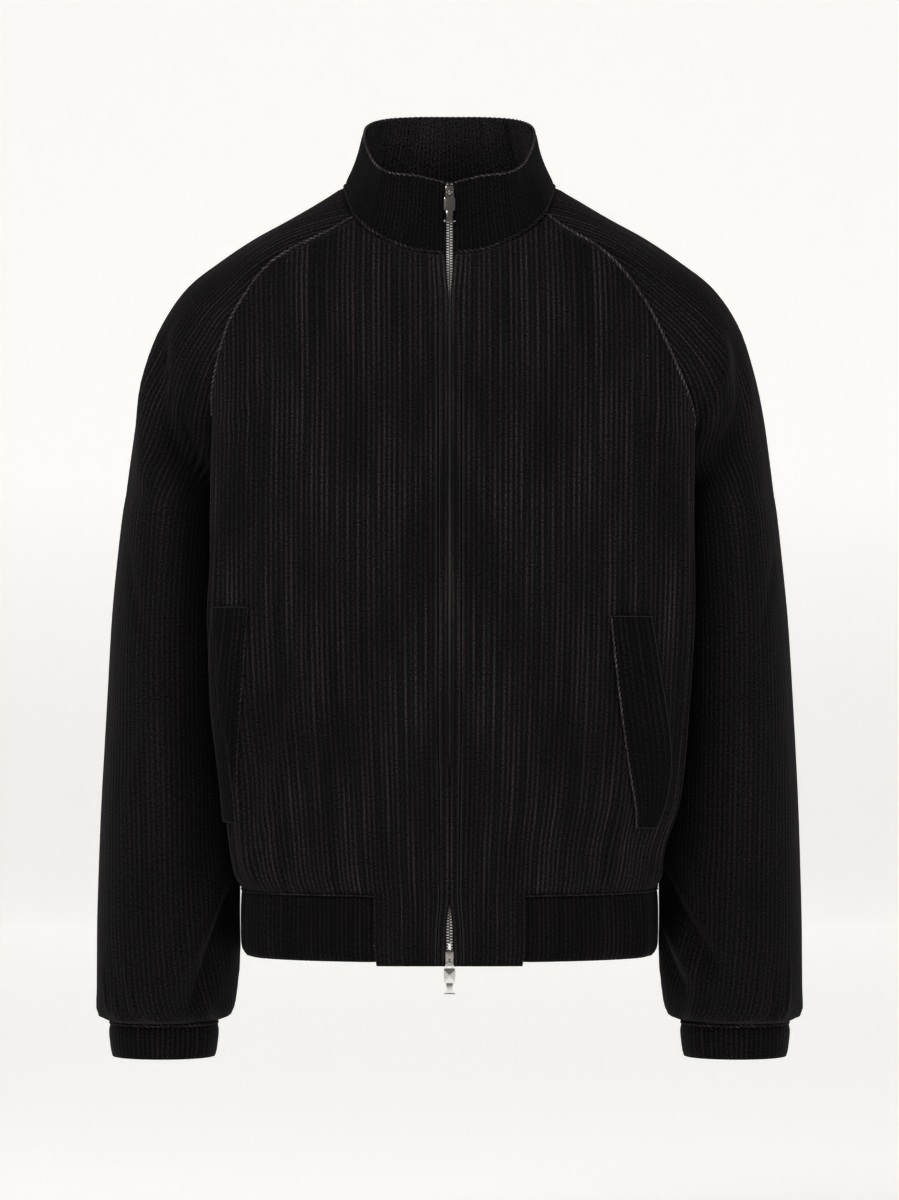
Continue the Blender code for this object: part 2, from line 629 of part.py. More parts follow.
def sleeve_form(w, v, side):
    # w goes round from the front edge (0) over the outer side (0.5) to the back edge (1);
    # v goes from the neck (0) to the armpit (1), and from there one unit per metre of height
    upper = np.minimum(v, 1.0)
    z_arm = ARMPIT_Z - np.maximum(v - 1.0, 0.0)
    arm = np.array(ARM)[::-1]
    arm_sizes = smooth(arm[:, 0], arm[:, 1:], z_arm)
    foot = ease((CUFF_SEAM_Z + FOOT_HEIGHT - z_arm) / FOOT_HEIGHT)[..., None]
    arm_sizes = arm_sizes * (1 - foot) + np.array(SLEEVE_FOOT) * foot
    inner, outer, middle, before, behind = (arm_sizes[..., k] for k in range(5))
    gap = SEAM_GAP * 2
    edges = {}
    for back in (False, True):
        s, z = seam(upper, side, back)
        s2, z2 = seam(np.minimum(upper + SEAM_SAMPLE, 1.0), side, back)
        s1, z1 = seam(np.maximum(upper - SEAM_SAMPLE, 0.0), side, back)
        here = torso(s, z, side)
        along = unit(torso(s2, z2, side) - torso(s1, z1, side))
        away = unit(np.cross(outward(s, z, side), along)) * (-1 if back else 1)
        edges[back] = (here, away)
    knots = raglan_column("v")
    crest = np.stack([smooth(knots, raglan_column(axis), upper) for axis in "xyz"], axis=-1)
    bow = smooth(knots, raglan_column("bow"), upper)
    edge = smooth(knots, raglan_column("edge"), upper)
    turn = np.clip(smooth(knots, raglan_column("turn"), upper), 0, 1)[..., None]
    heading = np.radians(smooth(knots, raglan_column("heading"), upper))
    ahead = np.stack([np.cos(heading), -np.sin(heading), np.zeros_like(heading)], axis=-1)
    astern = np.stack([np.cos(heading), np.sin(heading), np.zeros_like(heading)], axis=-1)
    front_edge, front_away = edges[False]
    back_edge, back_away = edges[True]
    start = unit(front_away * (1 - turn) + ahead * turn)
    finish = unit(back_away * (1 - turn) + astern * turn)
    front_edge = front_edge + start * gap
    back_edge = back_edge + finish * gap
    down = (v > 1.0)[..., None]
    inside = np.stack([inner, middle, z_arm], axis=-1)
    outside = np.stack([outer, middle, z_arm], axis=-1)
    front_edge = np.where(down, inside, front_edge)
    back_edge = np.where(down, inside, back_edge)
    crest = np.where(down, outside, crest)
    span_front = np.linalg.norm(crest - front_edge, axis=-1)
    span_back = np.linalg.norm(crest - back_edge, axis=-1) * BACK_SHARE
    reach_front = np.where(v > 1.0, before * OVAL_HANDLE, bow * span_front)
    reach_back = np.where(v > 1.0, behind * OVAL_HANDLE, bow * span_back)
    leave_front = np.where(v > 1.0, before * OVAL_HANDLE, edge * span_front)
    leave_back = np.where(v > 1.0, behind * OVAL_HANDLE, edge * span_back)
    over = np.array([0.0, 1.0, 0.0])
    front_half = bezier(
        front_edge,
        front_edge + start * leave_front[..., None],
        crest - over * reach_front[..., None],
        crest,
        np.clip(w * 2, 0, 1),
    )
    back_half = bezier(
        crest,
        crest + over * reach_back[..., None],
        back_edge + finish * leave_back[..., None],
        back_edge,
        np.clip(w * 2 - 1, 0, 1),
    )
    return np.where((w <= 0.5)[..., None], front_half, back_half)


def sleeve_points(w, v, side):
    # the form, eased at the neck so that its edge there is the neck seam itself
    hold = ease(1 - v / NECK_HOLD) * ease(np.minimum(w, 1 - w) / NECK_CORNER)
    return sleeve_form(w, v, side) + (neck_side(w, side) - sleeve_form(w, v * 0, side)) * hold[..., None]


def sleeve_relief(w, v, points, side):
    folds = LEFT_SLEEVE_FOLDS if side < 0 else RIGHT_SLEEVE_FOLDS
    rise = relief(w, points[..., 2], folds, stretch=SLEEVE_GIRTH)
    z = points[..., 2]
    near = np.clip((z - CUFF_SEAM_Z) / CUFF_GATHER_REACH, 0, 1)
    uneven = GATHER_WANDER * np.sin(GATHER_TURNS * w)
    gather = CUFF_GATHER_HEIGHT * np.sin(2 * math.pi * CUFF_GATHERS * w + uneven)
    rise = rise + gather * ease(1 - near) * ease(near / CUFF_GATHER_RISE)
    hold = ease((v - NECK_HOLD) / NECK_GROWTH) * ease((z - CUFF_SEAM_Z - CUFF_HOLD) / CUFF_GROWTH)
    from_seam = 1 - np.abs(2 * w - 1)
    return rise * hold * ease(from_seam / np.where(v > 1, UNDERARM_GROWTH, RAGLAN_GROWTH))


def build_sleeve(name, side):
    upper = np.linspace(0, 1, SLEEVE_UPPER_ROWS + 1)
    lower = 1 + np.linspace(0, 1, SLEEVE_LOWER_ROWS + 1)[1:] ** LOWER_ROW_SPREAD * (ARMPIT_Z - CUFF_SEAM_Z)
    lower[-2] = 1 + ARMPIT_Z - (CUFF_SEAM_Z + FOOT_ROW)
    v = np.concatenate([upper, lower])
    w = np.linspace(0, 1, SLEEVE_COLUMNS + 1)
    v_grid, w_grid = np.meshgrid(v, w, indexing="ij")
    points = sleeve_points(w_grid, v_grid, side)
    rise = sleeve_relief(w_grid, v_grid, points, side)
    points = points - normals_of(points) * rise[..., None]
    columns = SLEEVE_COLUMNS + 1
    faces = grid_faces(len(v), columns)
    # from the armpit down the two edges are one seam
    same = {j * columns + columns - 1: j * columns for j in range(SLEEVE_UPPER_ROWS, len(v))}
    faces = [tuple(same.get(k, k) for k in face)[::-1] for face in faces]
    return cloth_object(name, mirrored(points, side), turned(faces, side))


def neck_ring(share, side):
    # the neck seam round one half: 0 at the zip, 1 at the centre back
    s_front = seam(0.0, side, False)[0]
    s_back = seam(0.0, side, True)[0]
    opening = np.array(ZIP_OPENING)
    half = float(smooth(opening[:, 0], opening[:, 1], NECK_FRONT[0][1]))
    front_s = np.linspace(half, s_front, NECK_POINTS)
    front = torso(front_s, top_of_front(front_s, side), side)
    over = neck_side(np.linspace(0, 1, NECK_POINTS), side)
    back_s = np.linspace(s_back, HALF_GIRTH, NECK_POINTS)
    back = torso(back_s, top_of_back(back_s), side)
    ring = np.vstack([front, over[1:], back[1:]])
    run = np.concatenate([[0], np.cumsum(np.linalg.norm(np.diff(ring, axis=0), axis=1))])
    return np.stack([np.interp(share, run / run[-1], ring[:, k]) for k in range(3)], axis=-1)


def collar_half(share, height, side):
    # from the neck seam (height 0) to the upper edge (height 1), standing a little hollow
    low = neck_ring(share, side)
    top = np.array(COLLAR_TOP)
    run = np.concatenate([[0], np.cumsum(np.linalg.norm(np.diff(top, axis=0), axis=1))])
    high = smooth(run / run[-1], top, share)
    low = low + unit(high - low) * COLLAR_GAP
    away = unit((low + high) / 2 * [1, 1, 0] - np.array(NECK_MIDDLE))
    points = low * (1 - height[..., None]) + high * height[..., None]
    dip = COLLAR_LEAN * np.sin(math.pi * height) * ease(share / COLLAR_GROWTH)
    return points - away * dip[..., None]


def build_collar(name):
    share = np.linspace(-1, 1, COLLAR_COLUMNS + 1)
    height = np.linspace(0, 1, COLLAR_ROWS + 1)
    height_grid, share_grid = np.meshgrid(height, share, indexing="ij")
    right = collar_half(1 - np.abs(share_grid), height_grid, 1)
    left = mirrored(collar_half(1 - np.abs(share_grid), height_grid, -1), -1)
    points = np.where((share_grid < 0)[..., None], left, right)
    faces = grid_faces(len(height), len(share))
    return cloth_object(name, points, [face[::-1] for face in faces], DOUBLE_CLOTH)


def band_points(s, z):
    # s runs from the centre back, negative to the left
    side = np.where(s < 0, -1.0, 1.0)
    around = HALF_GIRTH - np.abs(s)
    left = torso(around, z, -1)
    right = torso(around, z, 1)
    points = np.where((s < 0)[..., None], left, right)
    points = points - outward(around, z, 1) * waist(around, z)[..., None]
    points[..., 0] *= side
    return points


def build_band(name):
    reach = HALF_GIRTH - BAND_START - SEAM_GAP * 2
    columns = np.linspace(-reach, reach, BAND_COLUMNS + 1)
    z = np.array([BAND_END_Z, *BAND_ROWS_Z, BAND_SEAM_Z - SEAM_GAP / 2])[:, None] + np.zeros_like(columns)
    points = band_points(np.broadcast_to(columns, z.shape), z)
    faces = grid_faces(len(z), len(columns))
    return cloth_object(name, points, [face[::-1] for face in faces], DOUBLE_CLOTH)


def cuff_ring(w, z):
    inner, outer, middle, before, behind = SLEEVE_FOOT
    down = (CUFF_SEAM_Z - z) / (CUFF_SEAM_Z - CUFF_END_Z)
    narrow = CUFF_TAPER * ease(down)
    bulge = CUFF_BULGE * np.sin(math.pi * down)
    inner = inner + narrow - bulge
    outer = outer - narrow + bulge
    inside = np.stack([inner, middle + 0 * z, z], axis=-1)
    outside = np.stack([outer, middle + 0 * z, z], axis=-1)
    front = np.array([0.0, -before * OVAL_HANDLE, 0.0])
    rear = np.array([0.0, behind * OVAL_HANDLE, 0.0])
    first = bezier(inside, inside + front, outside + front, outside, np.clip(w * 2, 0, 1))
    second = bezier(outside, outside + rear, inside + rear, inside, np.clip(w * 2 - 1, 0, 1))
    return np.where((w <= 0.5)[..., None], first, second)


def build_cuff(name, side):
    w = np.arange(CUFF_COLUMNS) / CUFF_COLUMNS
    z = np.array([CUFF_SEAM_Z - SEAM_GAP, *CUFF_ROWS_Z, CUFF_END_Z])
    z_grid, w_grid = np.meshgrid(z, w, indexing="ij")
    points = cuff_ring(w_grid, z_grid)
    faces = []
    for j in range(len(z) - 1):
        for i in range(CUFF_COLUMNS):
            a = j * CUFF_COLUMNS + i
            b = j * CUFF_COLUMNS + (i + 1) % CUFF_COLUMNS
            faces.append((a, a + CUFF_COLUMNS, b + CUFF_COLUMNS, b))
    return cloth_object(name, mirrored(points, side), turned(faces, side), DOUBLE_CLOTH)


def build_welt(name, side):
    rows = np.array(WELT_LEFT if side < 0 else WELT_RIGHT)
    t = np.linspace(0, 1, WELT_ROWS)
    edge = smooth(np.linspace(0, 1, len(rows)), rows, t)
    across = np.linspace(0, 1, WELT_COLUMNS)
    s = edge[:, 0:1] * (1 - across) + edge[:, 1:2] * across
    z = np.broadcast_to(edge[:, 2:3], s.shape)
    points = front_points(s, z, side, WELT_LIFT + WELT_THICKNESS)
    faces = grid_faces(len(t), WELT_COLUMNS)
    faces = turned([face[::-1] for face in faces], side)
    return cloth_object(name, mirrored(points, side), faces, WELT_THICKNESS)


def centre_line(z):
    # depth of the cloth's outer side at the centre front, body and collar
    neck_y = torso(0.0, NECK_FRONT[0][1], 1)[1]
    top = COLLAR_TOP[0]
    share = np.clip((z - NECK_FRONT[0][1]) / (top[2] - NECK_FRONT[0][1]), 0, 1)
    collar = neck_y * (1 - share) + top[1] * share
    return np.where(z < NECK_FRONT[0][1], torso(np.zeros_like(z), z, 1)[..., 1], collar)


def build_zip_half(name, side):
    body = np.linspace(ZIP_FOOT_Z, NECK_FRONT[0][1] - TAPE_NARROWS, ZIP_ROWS)
    post = TOP_SLIDER_Z + SLIDER_LENGTH / 2 - POST_LENGTH - POST_PLAY
    head = np.linspace(body[-1] + TAPE_NARROWS / 4, post, ZIP_HEAD_ROWS)
    z = np.concatenate([body, head, [post + POST_SIDE_PLAY * 2, ZIP_HEAD_Z]])
    near_collar = z > body[-1]
    wide = np.where(near_collar, CHAIN_HALF + TAPE_RIM * 2, TAPE_WIDTH)
    y = centre_line(z) + TAPE_DEPTH + CHAIN_THICKNESS / 2
    half = CHAIN_THICKNESS / 2
    tape = TAPE_THICKNESS / 2
    inner = np.where(z > post, POST_WIDTH / 2 + POST_SIDE_PLAY, CHAIN_PLAY)
    rings = []
    for height, depth, reach, start in zip(z, y, wide, inner):
        section = (
            (start, -half),
            (CHAIN_HALF, -half),
            (CHAIN_HALF + TAPE_RIM, -tape),
            (reach + TAPE_RIM, -tape),
            (reach + TAPE_RIM, tape),
            (CHAIN_HALF + TAPE_RIM, tape),
            (CHAIN_HALF, half),
            (start, half),
        )
        rings.append([(x, depth + dy, height) for x, dy in section])
    points = np.array(rings)
    count = points.shape[1]
    faces = [tuple(range(count))[::-1], tuple(range((len(z) - 1) * count, len(z) * count))]
    for j in range(len(z) - 1):
        for i in range(count):
            a = j * count + i
            b = j * count + (i + 1) % count
            faces.append((a, b, b + count, a + count))
    return mesh_object(name, mirrored(points, side), turned(faces, side), nickel(name))


def box(size, centre):
    bpy.ops.mesh.primitive_cube_add(size=1.0)
    made = bpy.context.object
    made.data.transform(Matrix.Translation(centre) @ Matrix.Diagonal((*size, 1.0)))
    return made


def move_to(made, collection):
    for holder in list(made.users_collection):
        holder.objects.unlink(made)
    bpy.data.collections[collection].objects.link(made)


def joined(name, pieces, stuff):
    # one body from overlapping pieces
    first = pieces[0]
    first.name = name
    first.data.name = name
    move_to(first, SHELL)
    for k, piece in enumerate(pieces[1:]):
        piece.name = f"{name}_piece_{k}"
        piece.hide_render = True
        piece.display_type = "WIRE"
        move_to(piece, HELPERS)
        union = first.modifiers.new(f"Join {k}", "BOOLEAN")
        union.operation = "UNION"
        union.solver = "EXACT"
        union.object = piece
    first.data.materials.clear()
    first.data.materials.append(stuff)
    return first


def slider_seat(z):
    # the middle of the chain's front at height z, and how far the chain leans back there
    low, high = (float(centre_line(np.array([z + dz]))[0]) for dz in (-SEAT_SPAN, SEAT_SPAN))
    return (low + high) / 2 + TAPE_DEPTH, math.atan2(high - low, 2 * SEAT_SPAN)


def hub_for(name, z, lean):
    # an empty on the chain's front, turned with it
    y, _ = slider_seat(z)
    hub = bpy.data.objects.new(name + "_hub", None)
    bpy.data.collections[HELPERS].objects.link(hub)
    hub.location = (0.0, y, z)
    hub.rotation_euler = (-lean, 0, 0)
    return hub


def build_slider(name, z, nose):
    # two plates joined by a post between the chain's halves, and the arch for the pull
    plate = PLATE_THICKNESS
    front = -SLIDER_CLEARANCE - plate
    back = CHAIN_THICKNESS + SLIDER_CLEARANCE
    leg = (ARCH_LENGTH - ARCH_BAND) / 2
    arch = arch_shift(z)
    pieces = [
        box((SLIDER_WIDTH, plate, SLIDER_LENGTH), (0, front + plate / 2, 0)),
        box((SLIDER_WIDTH, plate, SLIDER_LENGTH), (0, back + plate / 2, 0)),
        box(
            (POST_WIDTH, back - front + plate * POST_REACH, POST_LENGTH),
            (0, (front + back + plate) / 2, nose * (SLIDER_LENGTH - POST_LENGTH) / 2),
        ),
    ]
    for end in (-1, 1):
        pieces.append(
            box(
                (ARCH_WIDTH, ARCH_RISE + JOIN_OVERLAP, ARCH_BAND),
                (0, front - ARCH_RISE / 2 + JOIN_OVERLAP / 2, arch + end * leg),
            )
        )
    pieces.append(box((ARCH_WIDTH, ARCH_BAND, ARCH_LENGTH), (0, front - ARCH_RISE, arch)))
    made = joined(name, pieces, nickel(name))
    hub = hub_for(name, z, slider_seat(z)[1])
    for piece in pieces:
        piece.parent = hub
    return made


def arch_shift(z):
    # the lower slider stands upside down, with its arch near its lower end
    return -ARCH_SHIFT if z < ARMPIT_Z else 0.0


def pull_axis(z):
    # where the pull's pin lies under the arch, in world coordinates
    y, lean = slider_seat(z)
    depth = -SLIDER_CLEARANCE - PLATE_THICKNESS - ARCH_RISE + ARCH_BAND / 2 + PIN_DIAMETER / 2 + PIN_PLAY
    up = arch_shift(z)
    return (
        0.0,
        y + depth * math.cos(lean) + up * math.sin(lean),
        z + up * math.cos(lean) - depth * math.sin(lean),
    )


def build_pull(name, z, lean):
    # a pin under the arch, two arms, a plate, a narrower stem and a flared foot
    width = PULL_WIDTH
    thick = PULL_THICKNESS
    eye = PULL_EYE
    plate = PULL_PLATE
    stem = width * PULL_STEM
    arm = (stem - PULL_ARM) / 2
    cheek = thick * PULL_ARM_THICKNESS
    foot = PULL_LENGTH - PULL_FOOT
    stem_size = (stem, thick * PULL_STEM_THICKNESS, foot - eye - plate + PULL_OVERLAP)
    pieces = [
        box((stem, PIN_DIAMETER, PIN_DIAMETER), (0, 0, 0)),
        box((PULL_ARM, cheek, eye), (-arm, 0, PIN_DIAMETER / 2 - eye / 2)),
        box((PULL_ARM, cheek, eye), (arm, 0, PIN_DIAMETER / 2 - eye / 2)),
        box((width, thick, plate), (0, 0, -eye + PIN_DIAMETER - plate / 2)),
        box(stem_size, (0, 0, (PIN_DIAMETER - eye - plate - foot) / 2)),
        box((width, thick, PULL_FOOT), (0, 0, -PULL_LENGTH + PULL_FOOT / 2)),
    ]
    made = joined(name, pieces, nickel(name))
    hub = bpy.data.objects.new(name + "_axis", None)
    bpy.data.collections[HELPERS].objects.link(hub)
    hub.location = pull_axis(z)
    hub.rotation_euler = (lean, 0, 0)
    for piece in pieces:
        piece.parent = hub
    return made


def build_stop(name, side):
    z = TOP_SLIDER_Z + SLIDER_LENGTH / 2 + STOP_HEIGHT / 2 + STOP_SEAT
    y = float(centre_line(np.array([z]))[0]) + TAPE_DEPTH + CHAIN_THICKNESS / 2
    made = box((STOP_WIDTH, CHAIN_THICKNESS, STOP_HEIGHT), (side * (STOP_WIDTH / 2 + STOP_OFFSET), y, z))
    made.name = name
    made.data.name = name
    made.data.materials.clear()
    made.data.materials.append(nickel(name))
    move_to(made, SHELL)
    return made


def main():
    for old in list(bpy.data.objects):
        bpy.data.objects.remove(old, do_unlink=True)
    for name in (SHELL, HELPERS):
        bpy.context.scene.collection.children.link(bpy.data.collections.new(name))
    build_front("front_left", -1)
    build_front("front_right", 1)
    build_back("back")
    build_sleeve("sleeve_left", -1)
    build_sleeve("sleeve_right", 1)
    build_collar("collar")
    build_band("hem_band")
    build_cuff("cuff_left", -1)
    build_cuff("cuff_right", 1)
    build_welt("pocket_welt_left", -1)
    build_welt("pocket_welt_right", 1)
    build_zip_half("zip_left", -1)
    build_zip_half("zip_right", 1)
    build_slider("slider_top", TOP_SLIDER_Z, 1)
    build_slider("slider_bottom", BOTTOM_SLIDER_Z, -1)
    build_pull("pull_top", TOP_SLIDER_Z, TOP_PULL_LEAN)
    build_pull("pull_bottom", BOTTOM_SLIDER_Z, 0.0)
    build_stop("stop_left", -1)
    build_stop("stop_right", 1)


main()
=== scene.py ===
# A raglan jacket of black wide-wale corduroy with a metal zip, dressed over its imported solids.
# Metres, +Z up, the front faces -Y. "Left" and "right" are the picture's.
import json
import math

import bmesh
import bpy
import numpy as np
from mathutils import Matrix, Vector

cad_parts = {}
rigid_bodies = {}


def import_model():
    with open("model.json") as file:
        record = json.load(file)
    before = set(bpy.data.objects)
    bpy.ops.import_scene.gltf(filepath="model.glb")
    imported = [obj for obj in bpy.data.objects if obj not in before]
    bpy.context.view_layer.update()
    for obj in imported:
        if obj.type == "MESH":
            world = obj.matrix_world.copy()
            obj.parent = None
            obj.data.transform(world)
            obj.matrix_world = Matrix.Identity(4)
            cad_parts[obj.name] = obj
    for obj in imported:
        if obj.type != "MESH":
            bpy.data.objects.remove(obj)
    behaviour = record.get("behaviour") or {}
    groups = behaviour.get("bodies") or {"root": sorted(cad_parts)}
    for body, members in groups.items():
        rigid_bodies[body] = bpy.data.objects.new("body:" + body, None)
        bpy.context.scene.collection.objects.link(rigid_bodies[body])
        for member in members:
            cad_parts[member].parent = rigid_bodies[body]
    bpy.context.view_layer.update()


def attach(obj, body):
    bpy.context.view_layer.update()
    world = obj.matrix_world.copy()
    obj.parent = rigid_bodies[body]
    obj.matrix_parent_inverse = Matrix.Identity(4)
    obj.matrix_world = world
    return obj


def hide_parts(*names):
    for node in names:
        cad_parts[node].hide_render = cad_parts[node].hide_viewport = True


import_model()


clothWall = 0.0018
doubleCloth = 0.0034
seamGap = 0.0004
# where no seam is near, the distance to it
seamFar = 1.0
# small steps that keep the centre back on one side, and an edge inside its panel
sideNudge = 1e-9
tiny = 1e-6
frontWidth = 0.319
halfGirth = 0.5595
armpitZ = -0.246
bandSeamZ = -0.592
# the fronts' own lower parts hang a little below the band
hemZ = -0.652
bandEndZ = -0.6488
bandStart = 0.0745
cuffSeamZ = -0.7085
cuffEndZ = -0.738
# The body's sections, from the neck down: half-widths at the front fold, the fold's depth
# before the middle, the centre front's depth, the half-width under the sleeve, how far the
# cloth runs back from the fold to the side, and the centre back's depth.
torsoTable = (
    # z, wide_left, wide_right, fold, front, side, curl, back
    (-0.652, 0.1745, 0.1745, 0.045, 0.1160, 0.1795, 0.035, 0.100),
    (-0.641, 0.1790, 0.1790, 0.046, 0.1168, 0.1822, 0.035, 0.101),
    (-0.604, 0.1795, 0.1790, 0.047, 0.1175, 0.1829, 0.036, 0.102),
    (-0.592, 0.1810, 0.1790, 0.054, 0.1185, 0.1842, 0.038, 0.103),
    (-0.578, 0.1860, 0.1810, 0.064, 0.1200, 0.1829, 0.040, 0.106),
    (-0.550, 0.1905, 0.1850, 0.071, 0.1215, 0.1808, 0.040, 0.108),
    (-0.510, 0.1945, 0.1965, 0.075, 0.1250, 0.1796, 0.040, 0.110),
    (-0.430, 0.2030, 0.2050, 0.078, 0.1255, 0.1796, 0.040, 0.112),
    (-0.340, 0.2065, 0.2095, 0.078, 0.1235, 0.1795, 0.038, 0.116),
    (-0.246, 0.2070, 0.2110, 0.075, 0.1190, 0.1800, 0.038, 0.119),
    (-0.170, 0.2060, 0.2125, 0.067, 0.1120, 0.1930, 0.039, 0.120),
    (-0.110, 0.2070, 0.2130, 0.050, 0.1040, 0.2030, 0.040, 0.117),
    (-0.060, 0.2090, 0.2120, 0.020, 0.0920, 0.2070, 0.040, 0.110),
    (-0.030, 0.2080, 0.2100, -0.012, 0.0790, 0.2070, 0.040, 0.102),
    (0.000, 0.2070, 0.2090, -0.045, 0.0520, 0.2030, 0.040, 0.089),
    (0.034, 0.2060, 0.2080, -0.078, 0.0180, 0.1960, 0.040, 0.066),
)
# Stations round half the body, from the centre front (s = 0) to the centre back, each as
# shares of the section's sizes.
stationTable = (
    # s, of wide, of side, of front, of fold, of curl, of back
    (0.0000, 0.00, 0.00, 1.00, 0.00, 0.00, 0.00),
    (0.0750, 0.36, 0.00, 0.97, 0.03, 0.00, 0.00),
    (0.1470, 0.70, 0.00, 0.76, 0.24, 0.00, 0.00),
    (0.1980, 0.93, 0.00, 0.40, 0.60, 0.00, 0.00),
    (0.2220, 1.00, 0.00, 0.00, 1.00, 0.00, 0.00),
    (0.2480, 0.50, 0.50, 0.00, 1.00, 0.55, 0.00),
    (0.2740, 0.00, 1.00, 0.00, 1.00, 1.00, 0.00),
    (0.3190, 0.00, 1.00, 0.00, 0.00, 0.00, 0.10),
    (0.3660, 0.00, 0.97, 0.00, 0.00, 0.00, 0.52),
    (0.4140, 0.00, 0.80, 0.00, 0.00, 0.00, 0.84),
    (0.4840, 0.00, 0.42, 0.00, 0.00, 0.00, 0.98),
    (0.5595, 0.00, 0.00, 0.00, 0.00, 0.00, 1.00),
)
# The raglan seam, from the neck (v = 0) to the armpit (v = 1): its place on the body's
# front and back, and the crest of the sleeve at the same v. The sleeve bows between them:
# bow is the length of the curve's handle at the crest and edge that of the one at the seam,
# as shares of the distance between the two. turn is how far the edge's direction has swung
# round to the sleeve's own ring, and heading its angle from sideways to forwards, in degrees.
raglanColumns = (
    "v", "sLeft", "zLeft", "sRight", "zRight", "sBack", "zBack",
    "x", "y", "z", "bow", "edge", "turn", "heading",
)
raglanTable = (
    (0.00, 0.084, -0.0055, 0.084, -0.0032, 0.498, 0.031, 0.0935, -0.002, 0.0245, 0.36, 0.36, 0.0, 0),
    (0.10, 0.105, -0.0180, 0.102, -0.0165, 0.484, 0.014, 0.1140, 0.002, 0.0115, 0.36, 0.36, 0.0, 0),
    (0.22, 0.143, -0.0370, 0.129, -0.0330, 0.462, -0.012, 0.1420, 0.005, -0.0050, 0.37, 0.37, 0.0, 0),
    (0.34, 0.162, -0.0520, 0.149, -0.0530, 0.441, -0.042, 0.1710, 0.007, -0.0205, 0.38, 0.38, 0.0, 0),
    (0.46, 0.179, -0.0740, 0.169, -0.0830, 0.421, -0.078, 0.2010, 0.008, -0.0400, 0.41, 0.38, 0.0, 0),
    (0.58, 0.197, -0.1010, 0.187, -0.1180, 0.402, -0.118, 0.2320, 0.009, -0.0645, 0.47, 0.38, 0.2, 0),
    (0.70, 0.213, -0.1400, 0.205, -0.1540, 0.386, -0.158, 0.2545, 0.009, -0.0990, 0.56, 0.38, 0.6, 2),
    (0.80, 0.230, -0.1800, 0.225, -0.1900, 0.371, -0.194, 0.2680, 0.009, -0.1420, 0.66, 0.38, 0.9, 4),
    (0.88, 0.248, -0.2110, 0.246, -0.2160, 0.356, -0.221, 0.2760, 0.009, -0.1800, 0.75, 0.42, 1.0, 14),
    (0.95, 0.275, -0.2350, 0.275, -0.2360, 0.340, -0.238, 0.2815, 0.010, -0.2170, 0.86, 0.56, 1.0, 38),
    (1.00, 0.319, -0.2460, 0.319, -0.2460, 0.319, -0.246, 0.2855, 0.012, -0.2460, 1.03, 1.03, 1.0, 80),
)
# the back half of the sleeve's curve bows this much of the front half's
backShare = 0.91
# handles that turn a cubic's two ends into half an oval
ovalHandle = 4 / 3
# The sleeve below the armpit: its inner and outer sides, the middle of its depth and how
# far it reaches before and behind that.
armTable = (
    # z, inner, outer, middle, before, behind
    (-0.246, 0.1804, 0.2855, 0.012, 0.083, 0.074),
    (-0.262, 0.1836, 0.2880, 0.010, 0.084, 0.075),
    (-0.300, 0.1840, 0.2920, 0.008, 0.084, 0.075),
    (-0.360, 0.1838, 0.2975, 0.005, 0.082, 0.073),
    (-0.430, 0.1834, 0.3015, 0.000, 0.078, 0.070),
    (-0.500, 0.1832, 0.3045, -0.004, 0.074, 0.068),
    (-0.570, 0.1835, 0.3072, -0.007, 0.070, 0.066),
    (-0.620, 0.1835, 0.3088, -0.009, 0.067, 0.064),
    (-0.655, 0.1836, 0.3090, -0.011, 0.064, 0.061),
    (-0.686, 0.1868, 0.3088, -0.012, 0.060, 0.057),
    (-0.700, 0.1902, 0.3070, -0.013, 0.056, 0.053),
    (-0.708, 0.1965, 0.3020, -0.014, 0.048, 0.046),
)
# the same sizes where the sleeve meets its cuff, and how far above it the sleeve closes in
sleeveFoot = (0.2022, 0.2985, -0.014, 0.0415, 0.0405)
footHeight = 0.006
# metres round the sleeve, which turn shares of it into distances
sleeveGirth = 0.43
cuffBulge = 0.0006
cuffTaper = 0.0022
# The neck seam between the two raglan seams passes over the shoulder here.
neckOverShoulder = (0.0935, -0.002, 0.0245)
# its direction and speed at its front end, over the shoulder and at its back end
neckTangents = ((0.022, 0.030, 0.040), (0.0, 0.105, 0.022), (-0.060, 0.055, -0.008))
# The front's edge from the middle to the raglan seam, and the back's from the raglan seam
# to the middle, as places on the body.
neckFront = ((0.000, -0.0405), (0.030, -0.0370), (0.052, -0.0285), (0.070, -0.0180), (0.084, -0.0044))
neckBack = ((0.498, 0.0310), (0.520, 0.0305), (0.5595, 0.0290))
# The collar's upper edge, from the zip to the centre back.
collarTop = (
    # x, y, z
    (0.0044, -0.0705, 0.0225),
    (0.0300, -0.0690, 0.0285),
    (0.0510, -0.0610, 0.0315),
    (0.0640, -0.0450, 0.0390),
    (0.0715, -0.0250, 0.0510),
    (0.0765, 0.0000, 0.0665),
    (0.0745, 0.0280, 0.0810),
    (0.0600, 0.0520, 0.0890),
    (0.0330, 0.0670, 0.0925),
    (0.0000, 0.0705, 0.0930),
)
collarLean = 0.0022
# share of the collar's half over which its hollow grows from the zip
collarGrowth = 0.083
collarGap = 0.00064
# the collar stands round this point
neckMiddle = (0.0, -0.004, 0.0)
# Half the opening between the two fronts: where the zip shows at the collar and the hem.
zipOpening = (
    # z, half width
    (-0.652, 0.0047),
    (-0.634, 0.0043),
    (-0.615, 0.0030),
    (-0.600, 0.0010),
    (-0.580, 0.0004),
    (-0.500, 0.0004),
    (-0.470, 0.0010),
    (-0.300, 0.0011),
    (-0.100, 0.0011),
    (-0.075, 0.0014),
    (-0.054, 0.0032),
    (-0.040, 0.0040),
    (0.023, 0.0043),
)
openingFade = 0.030
# The seam draws the body in above the hem band.
waistDepth = 0.0018
waistReach = 0.011
waistFade = 0.030
